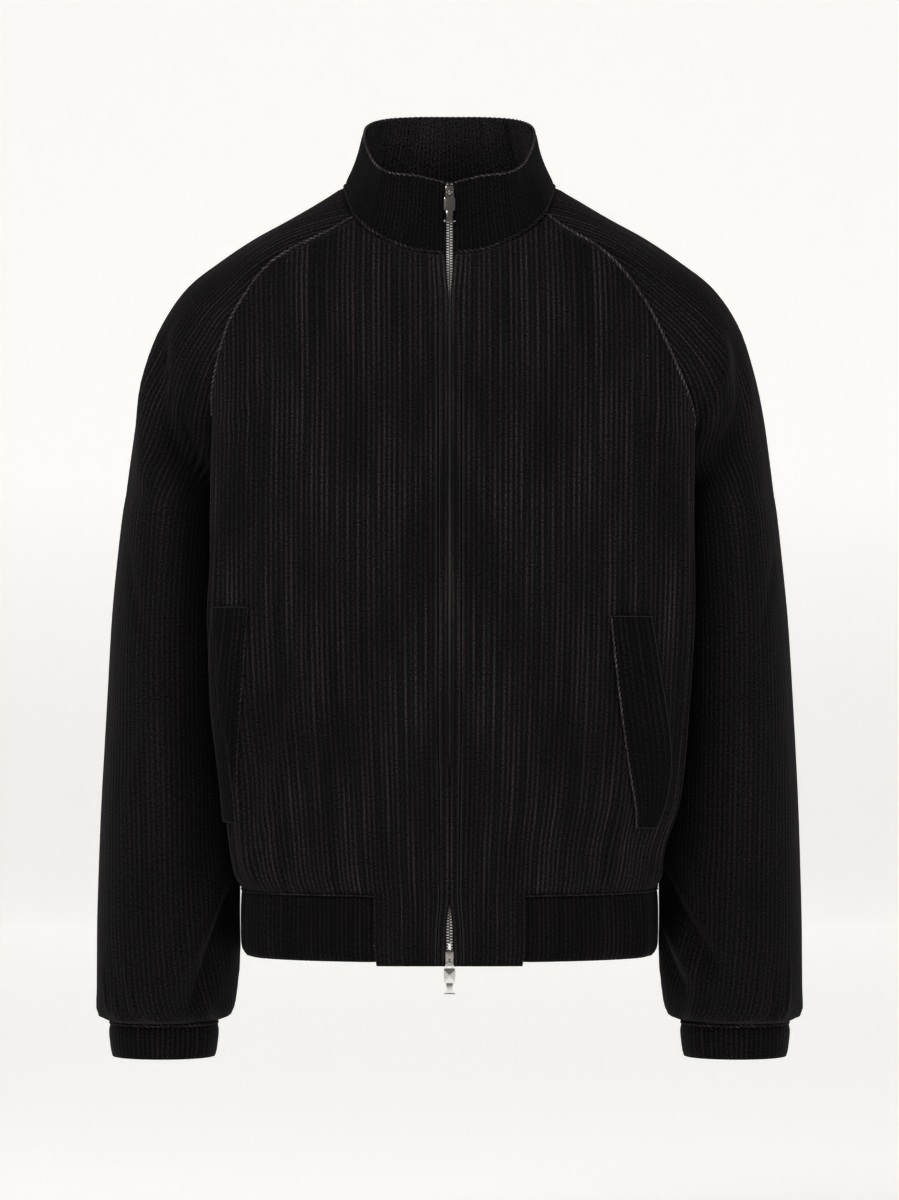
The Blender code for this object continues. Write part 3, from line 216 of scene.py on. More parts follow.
# Folds fade over this distance at a panel's edges, and over this share of their own length
# at each end, half of it past the end.
foldFade = 0.030
foldTail = 0.5
# Soft folds in the cloth, each a ridge (height above 0) or trough between two places.
leftFrontFolds = (
    # s, z at the start, s, z at the end, height, width
    (0.104, -0.328, 0.134, -0.448, 0.0045, 0.020),
    (0.134, -0.448, 0.187, -0.577, 0.0045, 0.016),
    (0.150, -0.370, 0.170, -0.500, -0.0040, 0.020),
    (0.200, -0.360, 0.196, -0.575, 0.0030, 0.016),
    (0.045, -0.300, 0.060, -0.560, -0.0030, 0.030),
    (0.090, -0.575, 0.086, -0.530, 0.0022, 0.009),
    (0.130, -0.575, 0.124, -0.535, 0.0022, 0.009),
)
rightFrontFolds = (
    (0.139, -0.430, 0.153, -0.589, 0.0040, 0.018),
    (0.036, -0.500, 0.053, -0.600, 0.0035, 0.018),
    (0.096, -0.440, 0.096, -0.585, -0.0030, 0.018),
    (0.190, -0.420, 0.200, -0.540, 0.0035, 0.014),
    (0.110, -0.150, 0.120, -0.300, -0.0025, 0.035),
    (0.170, -0.575, 0.164, -0.530, 0.0022, 0.009),
)
backFolds = (
    # s from the centre back, positive to the picture's right
    (0.120, -0.140, 0.150, -0.330, -0.0040, 0.030),
    (-0.125, -0.150, -0.150, -0.350, -0.0040, 0.030),
    (0.055, -0.400, 0.090, -0.580, 0.0045, 0.024),
    (-0.060, -0.380, -0.085, -0.580, 0.0045, 0.024),
    (0.000, -0.450, 0.005, -0.585, -0.0035, 0.022),
    (0.150, -0.470, 0.160, -0.580, 0.0035, 0.018),
    (-0.160, -0.480, -0.150, -0.580, 0.0035, 0.018),
)
# On a sleeve the place round it is a share: 0 at the underarm, 0.5 at the outer side.
leftSleeveFolds = (
    # share, z at the start, share, z at the end, height, width in shares
    (0.34, -0.116, 0.11, -0.225, -0.0070, 0.040),
    (0.44, -0.120, 0.24, -0.270, 0.0045, 0.050),
    (0.04, -0.594, 0.16, -0.691, -0.0060, 0.032),
    (0.10, -0.575, 0.24, -0.685, 0.0045, 0.036),
    (0.30, -0.380, 0.22, -0.520, 0.0030, 0.050),
    (0.70, -0.200, 0.85, -0.330, -0.0055, 0.045),
    (0.66, -0.430, 0.80, -0.560, 0.0040, 0.050),
    (0.84, -0.600, 0.74, -0.690, -0.0050, 0.040),
)
rightSleeveFolds = (
    (0.23, -0.117, 0.03, -0.195, 0.0050, 0.040),
    (0.33, -0.118, 0.11, -0.235, -0.0065, 0.042),
    (0.02, -0.579, 0.19, -0.660, -0.0070, 0.030),
    (0.00, -0.632, 0.10, -0.680, -0.0050, 0.028),
    (0.10, -0.550, 0.30, -0.645, 0.0045, 0.040),
    (0.72, -0.210, 0.86, -0.320, -0.0055, 0.045),
    (0.64, -0.400, 0.78, -0.540, 0.0040, 0.050),
    (0.82, -0.590, 0.72, -0.690, -0.0050, 0.040),
)
# Small gathers where the sleeve is eased into its cuff and the body into its band.
cuffGathers = 9
cuffGatherHeight = 0.0022
cuffGatherReach = 0.034
# they rise from the cuff over this share of their reach, and stand unevenly: their places
# wander by this many radians, this often round the sleeve
cuffGatherRise = 0.2
gatherWander = 0.6
gatherTurns = 9
# A sleeve's folds stop short of its seams: at the neck and the cuff they start this far off
# and grow over this distance, and they grow from the other seams over these shares.
neckHold = 0.10
neckGrowth = 0.15
cuffHold = 0.001
cuffGrowth = 0.008
raglanGrowth = 0.125
underarmGrowth = 0.083
# share of the way round within which the sleeve's corners at the neck keep their form
neckCorner = 0.05
# The welts' edges on the fronts, from top to bottom.
weltRight = (
    # s inner, s outer, z
    (0.1383, 0.1754, -0.3520),
    (0.1480, 0.1895, -0.4200),
    (0.1600, 0.2005, -0.4800),
    (0.1770, 0.1985, -0.5340),
)
weltLeft = (
    (0.1760, 0.2120, -0.3440),
    (0.1840, 0.2210, -0.4160),
    (0.1930, 0.2280, -0.4760),
    (0.2000, 0.2260, -0.5300),
)
weltLift = 0.0014
weltThickness = 0.0016
# The zip: a chain 6.4 mm wide on two tapes behind the fronts' edges.
chainHalf = 0.0032
chainThickness = 0.0022
tapeWidth = 0.014
tapeThickness = 0.0007
tapeDepth = 0.0026
zipFootZ = -0.6480
# inside the collar the tape is as narrow as the chain, from this far below the neck seam
tapeNarrows = 0.004
tapeRim = 0.0001
sliderWidth = 0.0068
sliderLength = 0.0135
plateThickness = 0.0011
archWidth = 0.0018
archLength = 0.0062
archRise = 0.0036
archBand = 0.0008
pinDiameter = 0.0009
pullWidth = 0.0098
pullLength = 0.0275
pullThickness = 0.0012
pullEye = 0.0056
pullPlate = 0.0128
pullFoot = 0.0018
pullArm = 0.0013
# shares of the plate's width and thickness
pullStem = 0.62
pullArmThickness = 0.8
pullStemThickness = 0.86
pinPlay = 0.0003
topSliderZ = 0.0128
bottomSliderZ = -0.6450
postWidth = 0.0009
postLength = 0.0022
# how far the post passes into the two plates together, as a share of one's thickness
postReach = 0.8
sliderClearance = 0.0004
seatSpan = 0.006
archOffset = 0.0034
topPullLean = math.radians(-14)
stopWidth = 0.0026
stopHeight = 0.0020
stopSeat = 0.0007
stopOffset = 0.0006
# distance between the points that a surface's own direction is taken from, the same along
# a seam as a share of it, and how many points a seam's whole course is read at
sample = 0.002
seamSample = 0.01
seamPoints = 161
neckPoints = 40


def smooth(knots, values, at):
    # cubic through every knot; its slope there is the slope between the two neighbours
    knots = np.asarray(knots, float)
    values = np.asarray(values, float)
    at = np.clip(np.asarray(at, float), knots[0], knots[-1])
    flat = values.ndim == 1
    if flat:
        values = values[:, None]
    slope = np.empty_like(values)
    slope[1:-1] = (values[2:] - values[:-2]) / (knots[2:] - knots[:-2])[:, None]
    slope[0] = (values[1] - values[0]) / (knots[1] - knots[0])
    slope[-1] = (values[-1] - values[-2]) / (knots[-1] - knots[-2])
    i = np.clip(np.searchsorted(knots, at, side="right") - 1, 0, len(knots) - 2)
    step = (knots[i + 1] - knots[i])[..., None]
    t = (at[..., None] - knots[i][..., None]) / step
    out = (2 * t**3 - 3 * t**2 + 1) * values[i] + (t**3 - 2 * t**2 + t) * step * slope[i]
    out = out + (3 * t**2 - 2 * t**3) * values[i + 1] + (t**3 - t**2) * step * slope[i + 1]
    return out[..., 0] if flat else out


def ease(t):
    t = np.clip(t, 0.0, 1.0)
    return t * t * (3 - 2 * t)


def unit(vector):
    return vector / np.maximum(np.linalg.norm(vector, axis=-1, keepdims=True), 1e-9)


def torso(s, z, side):
    # the body's point at cloth distance s from the centre front and height z
    s, z = np.broadcast_arrays(np.asarray(s, float), np.asarray(z, float))
    table = np.array(torsoTable)
    sizes = smooth(table[:, 0], table[:, 1:], z)
    wide = sizes[..., 0] if side < 0 else sizes[..., 1]
    fold, front, under, curl, back = (sizes[..., k] for k in range(2, 7))
    stations = np.array(stationTable)
    share = [smooth(stations[:, 0], stations[:, k], s) for k in range(1, 7)]
    x = share[0] * wide + share[1] * under
    y = share[4] * curl + share[5] * back - share[2] * front - share[3] * fold
    return np.stack([x, y, z], axis=-1)


def normalsOf(points):
    # the grid's own normals, from the differences of its rows and columns
    along = np.gradient(points, axis=0)
    across = np.gradient(points, axis=1)
    return unit(np.cross(across, along))


def relief(s, z, folds, stretch=1.0):
    # the sum of the folds' heights: a bell across each, fading at its ends
    total = np.zeros(np.broadcast(s, z).shape)
    for s0, z0, s1, z1, height, width in folds:
        runS = (s1 - s0) * stretch
        runZ = z1 - z0
        length = math.hypot(runS, runZ)
        t = ((s - s0) * stretch * runS + (z - z0) * runZ) / length**2
        off = ((s - s0) * stretch * runZ - (z - z0) * runS) / length
        fade = ease(t / foldTail + 0.5) * ease((1 - t) / foldTail + 0.5)
        total = total + height * fade * np.exp(-((off / (width * stretch)) ** 2))
    return total


def raglanColumn(name):
    return np.array(raglanTable)[:, raglanColumns.index(name)]


def seam(v, side, back):
    # (s, z) of the raglan seam at v
    where = "Back" if back else ("Left" if side < 0 else "Right")
    return tuple(smooth(raglanColumn("v"), raglanColumn(axis + where), v) for axis in "sz")


def topOfFront(s, side):
    # height of a front's upper edge: the neck seam, then the raglan seam
    neck = np.array(neckFront)
    v = np.linspace(0, 1, seamPoints)
    seamS, seamZ = seam(v, side, False)
    neckZ = smooth(neck[:, 0], neck[:, 1], s)
    join = seamZ[0] - neck[-1, 1]
    neckZ = neckZ + join * ease(s / neck[-1, 0])
    return np.where(s < seamS[0], neckZ, np.interp(s, seamS, seamZ))


def topOfBack(s):
    neck = np.array(neckBack)
    v = np.linspace(0, 1, seamPoints)
    seamS, seamZ = seam(v, 1, True)
    neckZ = smooth(neck[:, 0], neck[:, 1], s)
    return np.where(s > seamS[0], neckZ, np.interp(s, seamS[::-1], seamZ[::-1]))


def outward(s, z, side):
    # the body's outward direction at a place on it
    across = torso(s + sample, z, side) - torso(s - sample, z, side)
    rise = torso(s, z + sample, side) - torso(s, z - sample, side)
    return unit(np.cross(across, rise))


def waist(s, z):
    # how far the hem band's seam draws the cloth in, none at the fronts' own lower parts
    near = (z - bandSeamZ) / waistReach
    return waistDepth * np.exp(-near * near) * ease((s - bandStart) / waistFade)


def frontPoints(s, z, side, lift=0.0):
    # a front's outer side: the body's form with its folds and the opening at the zip
    opening = np.array(zipOpening)
    half = smooth(opening[:, 0], opening[:, 1], z)
    place = s + half * ease(1 - s / openingFade)
    folds = leftFrontFolds if side < 0 else rightFrontFolds
    edge = ease((z - bandSeamZ) / foldFade) * ease((topOfFront(s, side) - z) / foldFade)
    rise = relief(s, z, folds) * edge + lift - waist(s, z)
    return torso(place, z, side) + outward(place, z, side) * rise[..., None]


def mirrorSigns(side, vectors):
    # vectors with their sideways part turned over on the left half
    vectors = vectors.copy()
    vectors[..., 0] *= side
    return vectors


def backPoints(s, z):
    # s runs from one side seam, through the centre back, to the other, negative to the left
    side = np.sign(s + sideNudge)
    around = halfGirth - np.abs(s)
    points = torso(around, z, 1)
    points[..., 0] *= side
    edge = ease((z - bandSeamZ) / foldFade)
    rise = relief(s, z, backFolds) * edge - waist(around, z)
    return points + mirrorSigns(side, outward(around, z, 1)) * rise[..., None]


def bezier(a, b, c, d, t):
    t = t[..., None]
    return (1 - t) ** 3 * a + 3 * (1 - t) ** 2 * t * b + 3 * (1 - t) * t**2 * c + t**3 * d


def neckSide(t, side):
    # the neck seam over the shoulder, from the front raglan seam (t = 0) to the back one
    s0, z0 = seam(0.0, side, False)
    s1, z1 = seam(0.0, side, True)
    a = torso(s0, z0, side)
    c = torso(s1, z1, side)
    b = np.array(neckOverShoulder)
    ends = np.stack([a, b, c])
    tangent = np.array(neckTangents)
    i = np.minimum((np.asarray(t) * 2).astype(int), 1)
    local = (np.asarray(t) * 2 - i)[..., None]
    # each half of the seam takes half of the run, so it takes half of the speed
    leave = (2 * local**3 - 3 * local**2 + 1) * ends[i] + (local**3 - 2 * local**2 + local) * tangent[i] / 2
    arrive = (3 * local**2 - 2 * local**3) * ends[i + 1] + (local**3 - local**2) * tangent[i + 1] / 2
    return leave + arrive


def sleeveForm(w, v, side):
    # w goes round from the front edge (0) over the outer side (0.5) to the back edge (1);
    # v goes from the neck (0) to the armpit (1), and from there one unit per metre of height
    upper = np.minimum(v, 1.0)
    zArm = armpitZ - np.maximum(v - 1.0, 0.0)
    arm = np.array(armTable)[::-1]
    armSizes = smooth(arm[:, 0], arm[:, 1:], zArm)
    foot = ease((cuffSeamZ + footHeight - zArm) / footHeight)[..., None]
    armSizes = armSizes * (1 - foot) + np.array(sleeveFoot) * foot
    inner, outer, middle, before, behind = (armSizes[..., k] for k in range(5))
    gap = seamGap * 2
    edges = {}
    for back in (False, True):
        s, z = seam(upper, side, back)
        s2, z2 = seam(np.minimum(upper + seamSample, 1.0), side, back)
        s1, z1 = seam(np.maximum(upper - seamSample, 0.0), side, back)
        here = torso(s, z, side)
        along = unit(torso(s2, z2, side) - torso(s1, z1, side))
        away = unit(np.cross(outward(s, z, side), along)) * (-1 if back else 1)
        edges[back] = (here, away)
    knots = raglanColumn("v")
    crest = np.stack([smooth(knots, raglanColumn(axis), upper) for axis in "xyz"], axis=-1)
    bow = smooth(knots, raglanColumn("bow"), upper)
    edge = smooth(knots, raglanColumn("edge"), upper)
    turn = np.clip(smooth(knots, raglanColumn("turn"), upper), 0, 1)[..., None]
    heading = np.radians(smooth(knots, raglanColumn("heading"), upper))
    ahead = np.stack([np.cos(heading), -np.sin(heading), np.zeros_like(heading)], axis=-1)
    astern = np.stack([np.cos(heading), np.sin(heading), np.zeros_like(heading)], axis=-1)
    frontEdge, frontAway = edges[False]
    backEdge, backAway = edges[True]
    start = unit(frontAway * (1 - turn) + ahead * turn)
    finish = unit(backAway * (1 - turn) + astern * turn)
    frontEdge = frontEdge + start * gap
    backEdge = backEdge + finish * gap
    down = (v > 1.0)[..., None]
    inside = np.stack([inner, middle, zArm], axis=-1)
    outside = np.stack([outer, middle, zArm], axis=-1)
    frontEdge = np.where(down, inside, frontEdge)
    backEdge = np.where(down, inside, backEdge)
    crest = np.where(down, outside, crest)
    spanFront = np.linalg.norm(crest - frontEdge, axis=-1)
    spanBack = np.linalg.norm(crest - backEdge, axis=-1) * backShare
    reachFront = np.where(v > 1.0, before * ovalHandle, bow * spanFront)
    reachBack = np.where(v > 1.0, behind * ovalHandle, bow * spanBack)
    leaveFront = np.where(v > 1.0, before * ovalHandle, edge * spanFront)
    leaveBack = np.where(v > 1.0, behind * ovalHandle, edge * spanBack)
    over = np.array([0.0, 1.0, 0.0])
    frontHalf = bezier(
        frontEdge,
        frontEdge + start * leaveFront[..., None],
        crest - over * reachFront[..., None],
        crest,
        np.clip(w * 2, 0, 1),
    )
    backHalf = bezier(
        crest,
        crest + over * reachBack[..., None],
        backEdge + finish * leaveBack[..., None],
        backEdge,
        np.clip(w * 2 - 1, 0, 1),
    )
    return np.where((w <= 0.5)[..., None], frontHalf, backHalf)


def sleevePoints(w, v, side):
    # the form, eased at the neck so that its edge there is the neck seam itself
    hold = ease(1 - v / neckHold) * ease(np.minimum(w, 1 - w) / neckCorner)
    return sleeveForm(w, v, side) + (neckSide(w, side) - sleeveForm(w, v * 0, side)) * hold[..., None]


def sleeveRelief(w, v, points, side):
    folds = leftSleeveFolds if side < 0 else rightSleeveFolds
    rise = relief(w, points[..., 2], folds, stretch=sleeveGirth)
    z = points[..., 2]
    near = np.clip((z - cuffSeamZ) / cuffGatherReach, 0, 1)
    uneven = gatherWander * np.sin(gatherTurns * w)
    gather = cuffGatherHeight * np.sin(2 * math.pi * cuffGathers * w + uneven)
    rise = rise + gather * ease(1 - near) * ease(near / cuffGatherRise)
    hold = ease((v - neckHold) / neckGrowth) * ease((z - cuffSeamZ - cuffHold) / cuffGrowth)
    fromSeam = 1 - np.abs(2 * w - 1)
    return rise * hold * ease(fromSeam / np.where(v > 1, underarmGrowth, raglanGrowth))


def runAlong(path):
    # distance along a path at each of its points
    return np.concatenate([[0], np.cumsum(np.linalg.norm(np.diff(path, axis=0), axis=1))])


def neckRing(share, side):
    # the neck seam round one half: 0 at the zip, 1 at the centre back
    sFront = seam(0.0, side, False)[0]
    sBack = seam(0.0, side, True)[0]
    opening = np.array(zipOpening)
    half = float(smooth(opening[:, 0], opening[:, 1], neckFront[0][1]))
    frontS = np.linspace(half, sFront, neckPoints)
    front = torso(frontS, topOfFront(frontS, side), side)
    over = neckSide(np.linspace(0, 1, neckPoints), side)
    backS = np.linspace(sBack, halfGirth, neckPoints)
    back = torso(backS, topOfBack(backS), side)
    ring = np.vstack([front, over[1:], back[1:]])
    run = runAlong(ring)
    return np.stack([np.interp(share, run / run[-1], ring[:, k]) for k in range(3)], axis=-1)


def collarHalf(share, height, side):
    # from the neck seam (height 0) to the upper edge (height 1), standing a little hollow
    low = neckRing(share, side)
    top = np.array(collarTop)
    run = runAlong(top)
    high = smooth(run / run[-1], top, share)
    low = low + unit(high - low) * collarGap
    away = unit((low + high) / 2 * [1, 1, 0] - np.array(neckMiddle))
    points = low * (1 - height[..., None]) + high * height[..., None]
    dip = collarLean * np.sin(math.pi * height) * ease(share / collarGrowth)
    return points - away * dip[..., None]


def bandPoints(s, z):
    # s runs from the centre back, negative to the left
    side = np.where(s < 0, -1.0, 1.0)
    around = halfGirth - np.abs(s)
    left = torso(around, z, -1)
    right = torso(around, z, 1)
    points = np.where((s < 0)[..., None], left, right)
    points = points - outward(around, z, 1) * waist(around, z)[..., None]
    points[..., 0] *= side
    return points


def cuffRing(w, z):
    inner, outer, middle, before, behind = sleeveFoot
    down = (cuffSeamZ - z) / (cuffSeamZ - cuffEndZ)
    narrow = cuffTaper * ease(down)
    bulge = cuffBulge * np.sin(math.pi * down)
    inner = inner + narrow - bulge
    outer = outer - narrow + bulge
    inside = np.stack([inner, middle + 0 * z, z], axis=-1)
    outside = np.stack([outer, middle + 0 * z, z], axis=-1)
    front = np.array([0.0, -before * ovalHandle, 0.0])
    rear = np.array([0.0, behind * ovalHandle, 0.0])
    first = bezier(inside, inside + front, outside + front, outside, np.clip(w * 2, 0, 1))
    second = bezier(outside, outside + rear, inside + rear, inside, np.clip(w * 2 - 1, 0, 1))
    return np.where((w <= 0.5)[..., None], first, second)


def centreLine(z):
    # depth of the cloth's outer side at the centre front, body and collar
    neckY = torso(0.0, neckFront[0][1], 1)[1]
    top = collarTop[0]
    share = np.clip((z - neckFront[0][1]) / (top[2] - neckFront[0][1]), 0, 1)
    collar = neckY * (1 - share) + top[1] * share
    return np.where(z < neckFront[0][1], torso(np.zeros_like(z), z, 1)[..., 1], collar)


def sliderSeat(z):
    # the middle of the chain's front at height z, and how far the chain leans back there
    low, high = (float(centreLine(np.array([z + dz]))[0]) for dz in (-seatSpan, seatSpan))
    return (low + high) / 2 + tapeDepth, math.atan2(high - low, 2 * seatSpan)


def archShiftAt(z):
    # the lower slider stands upside down, with its arch near its lower end
    return -archOffset if z < armpitZ else 0.0


def pullAxis(z):
    # where the pull's pin lies under the arch, in world coordinates
    y, lean = sliderSeat(z)
    depth = -sliderClearance - plateThickness - archRise + archBand / 2 + pinDiameter / 2 + pinPlay
    up = archShiftAt(z)
    return (
        0.0,
        y + depth * math.cos(lean) + up * math.sin(lean),
        z + up * math.cos(lean) - depth * math.sin(lean),
    )


def mirrored(points, side):
    return points * np.array([side, 1.0, 1.0])


def linear(hexColour):
    # sRGB hex to linear: ((c + 0.055) / 1.055) ^ 2.4 above the toe
    c = np.array([int(hexColour[i:i + 2], 16) for i in (1, 3, 5)]) / 255
    return tuple(np.where(c <= 0.04045, c / 12.92, ((c + 0.055) / 1.055) ** 2.4)) + (1.0,)


def scaled(colour, share):
    return tuple(share * c for c in colour[:3]) + (1.0,)


def gridQuads(rows, columns):
    # corner numbers of every cell of a grid, row by row
    a = (np.arange(rows - 1)[:, None] * columns + np.arange(columns - 1)[None, :]).ravel()
    return np.stack([a, a + 1, a + columns + 1, a + columns], axis=-1)


mergeDistance = 2e-6


def makeMesh(name, points, quads, uv=None, flip=False, smoothShade=True):
    # merges points that coincide, drops corners that fell together, and fills the mesh at once
    flat = np.asarray(points, float).reshape(-1, 3)
    first, where = np.unique(np.round(flat / mergeDistance).astype(np.int64), axis=0,
                             return_index=True, return_inverse=True)[1:]
    flat = flat[first]
    quads = np.asarray(quads)
    if flip:
        quads = quads[:, ::-1]
    corners = where.reshape(-1)[quads]
    same = corners == np.roll(corners, -1, axis=1)
    count = (~same).sum(axis=1)
    alive = count >= 3
    corners, same, source, count = corners[alive], same[alive], quads[alive], count[alive]
    mesh = bpy.data.meshes.new(name)
    mesh.vertices.add(len(flat))
    mesh.vertices.foreach_set("co", flat.ravel())
    mesh.loops.add(int(count.sum()))
    mesh.loops.foreach_set("vertex_index", corners[~same].astype(np.int32))
    mesh.polygons.add(len(count))
    mesh.polygons.foreach_set("loop_start", np.concatenate([[0], np.cumsum(count)[:-1]]).astype(np.int32))
    mesh.update(calc_edges=True)
    if uv is not None:
        layer = mesh.uv_layers.new(name="cloth")
        layer.data.foreach_set("uv", np.asarray(uv, float).reshape(-1, 2)[source[~same]].ravel())
    mesh.validate()
    mesh.polygons.foreach_set("use_smooth", np.full(len(mesh.polygons), smoothShade))
    made = bpy.data.objects.new(name, mesh)
    bpy.context.scene.collection.objects.link(made)
    return made


def finishPiece(piece, material, nodes, body="jacket"):
    piece.data.materials.append(material)
    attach(piece, body)
    if nodes:
        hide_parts(*nodes)
    return piece


def addWall(piece, thickness):
    # the cloth's thickness, inwards from its outer side
    wall = piece.modifiers.new("wall", "SOLIDIFY")
    wall.thickness = thickness
    wall.offset = -1
    wall.use_even_offset = False
    wall.use_quality_normals = True


def clothPiece(name, points, u, v, flip, wall, material, quads=None):
    # a shell of cloth in place of the solid that its name ends with
    quads = gridQuads(*points.shape[:2]) if quads is None else quads
    piece = makeMesh(name, points, quads, np.stack([u, v], axis=-1), flip)
    addWall(piece, wall)
    return finishPiece(piece, material, [name.replace("dressed_", "")])


def addNode(tree, kind, links=(), values=(), **settings):
    # adds a shader node: settings are its properties, values are (socket, constant), and links
    # are (socket, output), where a node stands for its first output
    node = tree.nodes.new(kind)
    for key, value in settings.items():
        setattr(node, key, value)
    for socket, value in values:
        node.inputs[socket].default_value = value
    for socket, source in links:
        tree.links.new(getattr(source, "outputs", [source])[0], node.inputs[socket])
    return node


def newMaterial(name, values):
    # a material with (socket, constant) set on its shader
    material = bpy.data.materials.new(name)
    material.use_nodes = True
    shader = material.node_tree.nodes["Principled BSDF"]
    for socket, value in values:
        shader.inputs[socket].default_value = value
    return material, material.node_tree, shader


def finishShader(tree, shader, colour, height, strength, distance):
    # the colour, and the fine relief as bump
    bump = addNode(tree, "ShaderNodeBump", [("Height", height)],
                   [("Strength", strength), ("Distance", distance)])
    tree.links.new(colour, shader.inputs["Base Color"])
    tree.links.new(bump.outputs[0], shader.inputs["Normal"])


cloth = {
    "groove": "#0e0d0d",      # backing between the wales, darker than the pile: painted shade in the grooves
    "pile": "#161415",        # top of a wale
    "litCrest": "#2e282b",        # painted highlight: the colour of the lit line on the wales' tops
    "roughness": 0.9,
    "specular": 0.06,
    "narrow": 2.2,            # the lit line is narrower than the wale by this power
    "ribFade": (-0.22, -0.06),  # heights between which a sleeve's lit lines come out
    "sheen": 0.035,
    "sheenRoughness": 0.38,
    "sheenTint": (0.85, 0.78, 0.82, 1.0),
    "waleRun": 0.16,          # a wale keeps its own brightness over about this distance
    "waleShare": 0.9,         # and this share of its width across
    "bumpStrength": 0.6,
    "bumpDistance": 0.0005,
}


def corduroyMaterial(name, pitch, shade=1.0, ribs=(1.0, 1.0)):
    # cut cotton pile in wales: matt, with a soft sheen where the pile is seen edge on, a painted
    # highlight along each wale's top and painted shade in its groove; u counts across the wales and v
    # along them, both in metres; ribs says how plain the wales' painted lit lines are low on the
    # garment and at its shoulders
    material, tree, shader = newMaterial(name, (
        ("Roughness", cloth["roughness"]), ("Specular IOR Level", cloth["specular"]),
        ("Sheen Weight", cloth["sheen"]), ("Sheen Roughness", cloth["sheenRoughness"]),
        ("Sheen Tint", cloth["sheenTint"])))
    place = addNode(tree, "ShaderNodeUVMap", uv_map="cloth")
    noises = {}
    levels = {}
    for key, size, lengthwise, detail, span in (
        # size across the wales, how many times longer along them, and the noise's
        # values from low to high with what they are laid on
        ("tufts", 0.0010, 1.8, 2.0, (0.36, 0.66, 0.1, 2.1)),    # about twice as coarse as real
        ("nap", 0.024, 7.0, 3.0, (0.3, 0.7, 0.78, 1.22)),       # brushed and unbrushed patches
        ("drift", 0.045, 2.2, 2.0, (0.34, 0.66, 0.2, 1.45)),    # where the lit lines show more
        ("bars", pitch * cloth["waleShare"], cloth["waleRun"] / pitch, 1.0, (0.38, 0.68, 0.0, 1.0)),
    ):
        spread = addNode(tree, "ShaderNodeMapping", [(0, place)], [("Scale", (1.0, 1 / lengthwise, 1.0))])
        noises[key] = addNode(tree, "ShaderNodeTexNoise", [(0, spread)],
                              [("Scale", 1 / size), ("Detail", detail)])
        levels[key] = addNode(tree, "ShaderNodeMapRange", [(0, noises[key])], enumerate(span, 1))
    across = addNode(tree, "ShaderNodeSeparateXYZ", [(0, place)])
    turns = addNode(tree, "ShaderNodeMath", [(0, across)], [(1, 2 * math.pi / pitch)], operation="MULTIPLY")
    wave = addNode(tree, "ShaderNodeMath", [(0, turns)], operation="COSINE")
    crest = addNode(tree, "ShaderNodeMapRange", [(0, wave)], enumerate((1.0, -1.0, 0.0, 1.0), 1))
    wale = addNode(tree, "ShaderNodeMath", [(0, crest)], [(1, cloth["narrow"])], operation="POWER")
    height = addNode(tree, "ShaderNodeSeparateXYZ",
                     [(0, addNode(tree, "ShaderNodeTexCoord").outputs["Object"])])
    risen = addNode(tree, "ShaderNodeMapRange", [(0, height.outputs[2])],
                    enumerate((*cloth["ribFade"], *ribs), 1))
    # painted highlight: a lit line on each wale's top, uneven from wale to wale, fading in patches and, by
    # ribs, with height
    plain = addNode(tree, "ShaderNodeMath", [(0, risen), (1, levels["drift"])], operation="MULTIPLY")
    lit = addNode(tree, "ShaderNodeMath", [(0, wale), (1, plain)], operation="MULTIPLY")
    crestHighlight = addNode(tree, "ShaderNodeMath", [(0, levels["bars"]), (1, lit)], operation="MULTIPLY")
    groove, pile, litCrest = (scaled(linear(cloth[key]), shade) for key in ("groove", "pile", "litCrest"))
    # painted shade darkens the grooves against the pile; the painted highlight is then laid on the tops
    ribbed = addNode(tree, "ShaderNodeMix", [(0, wale)], [(6, groove), (7, pile)], data_type="RGBA")
    tone = addNode(tree, "ShaderNodeMix", [(0, crestHighlight), (6, ribbed.outputs[2])], [(7, litCrest)],
                   data_type="RGBA")
    level = addNode(tree, "ShaderNodeMath", [(0, levels["tufts"]), (1, levels["nap"])],
                    operation="MULTIPLY")
    shaded = addNode(tree, "ShaderNodeVectorMath", [(0, tone.outputs[2]), (1, level)],
                     operation="MULTIPLY")
    finishShader(tree, shader, shaded.outputs[0], noises["tufts"], cloth["bumpStrength"],
                 cloth["bumpDistance"])
    return material


metal = {
    "nickel": "#a4a19d",
    "nickelPale": "#e6e4e0",
    "nickelRoughness": 0.14,
    "teeth": "#f6f3ec",
    "teethRoughness": 0.22,
    "scratch": 0.0006,
    "glossSpan": (0.75, 1.35),    # shares of the roughness
    "toneSpan": (0.9, 1.05),
}


def metalMaterial(name, colour, roughness, metallic=1.0):
    # nickel-plated brass, barrel-polished: bright, with a faint unevenness in its gloss
    material, tree, shader = newMaterial(name, (("Metallic", metallic),))
    place = addNode(tree, "ShaderNodeTexCoord")
    smear = addNode(tree, "ShaderNodeTexNoise", [(0, place.outputs["Object"])],
                    [("Scale", 1 / metal["scratch"]), ("Detail", 4.0)])
    gloss = addNode(tree, "ShaderNodeMapRange", [(0, smear)],
                    enumerate((roughness * share for share in metal["glossSpan"]), 3))
    tone = addNode(tree, "ShaderNodeMapRange", [(0, smear)], enumerate(metal["toneSpan"], 3))
    tint = addNode(tree, "ShaderNodeVectorMath", [(1, tone)], [(0, linear(colour)[:3])],
                   operation="MULTIPLY")
    tree.links.new(gloss.outputs[0], shader.inputs["Roughness"])
    tree.links.new(tint.outputs[0], shader.inputs["Base Color"])
    return material


yarn = {"waveStep": 3.3, "wander": 1.2, "dark": 0.55, "bumpStrength": 0.4, "bumpDistance": 0.0003}


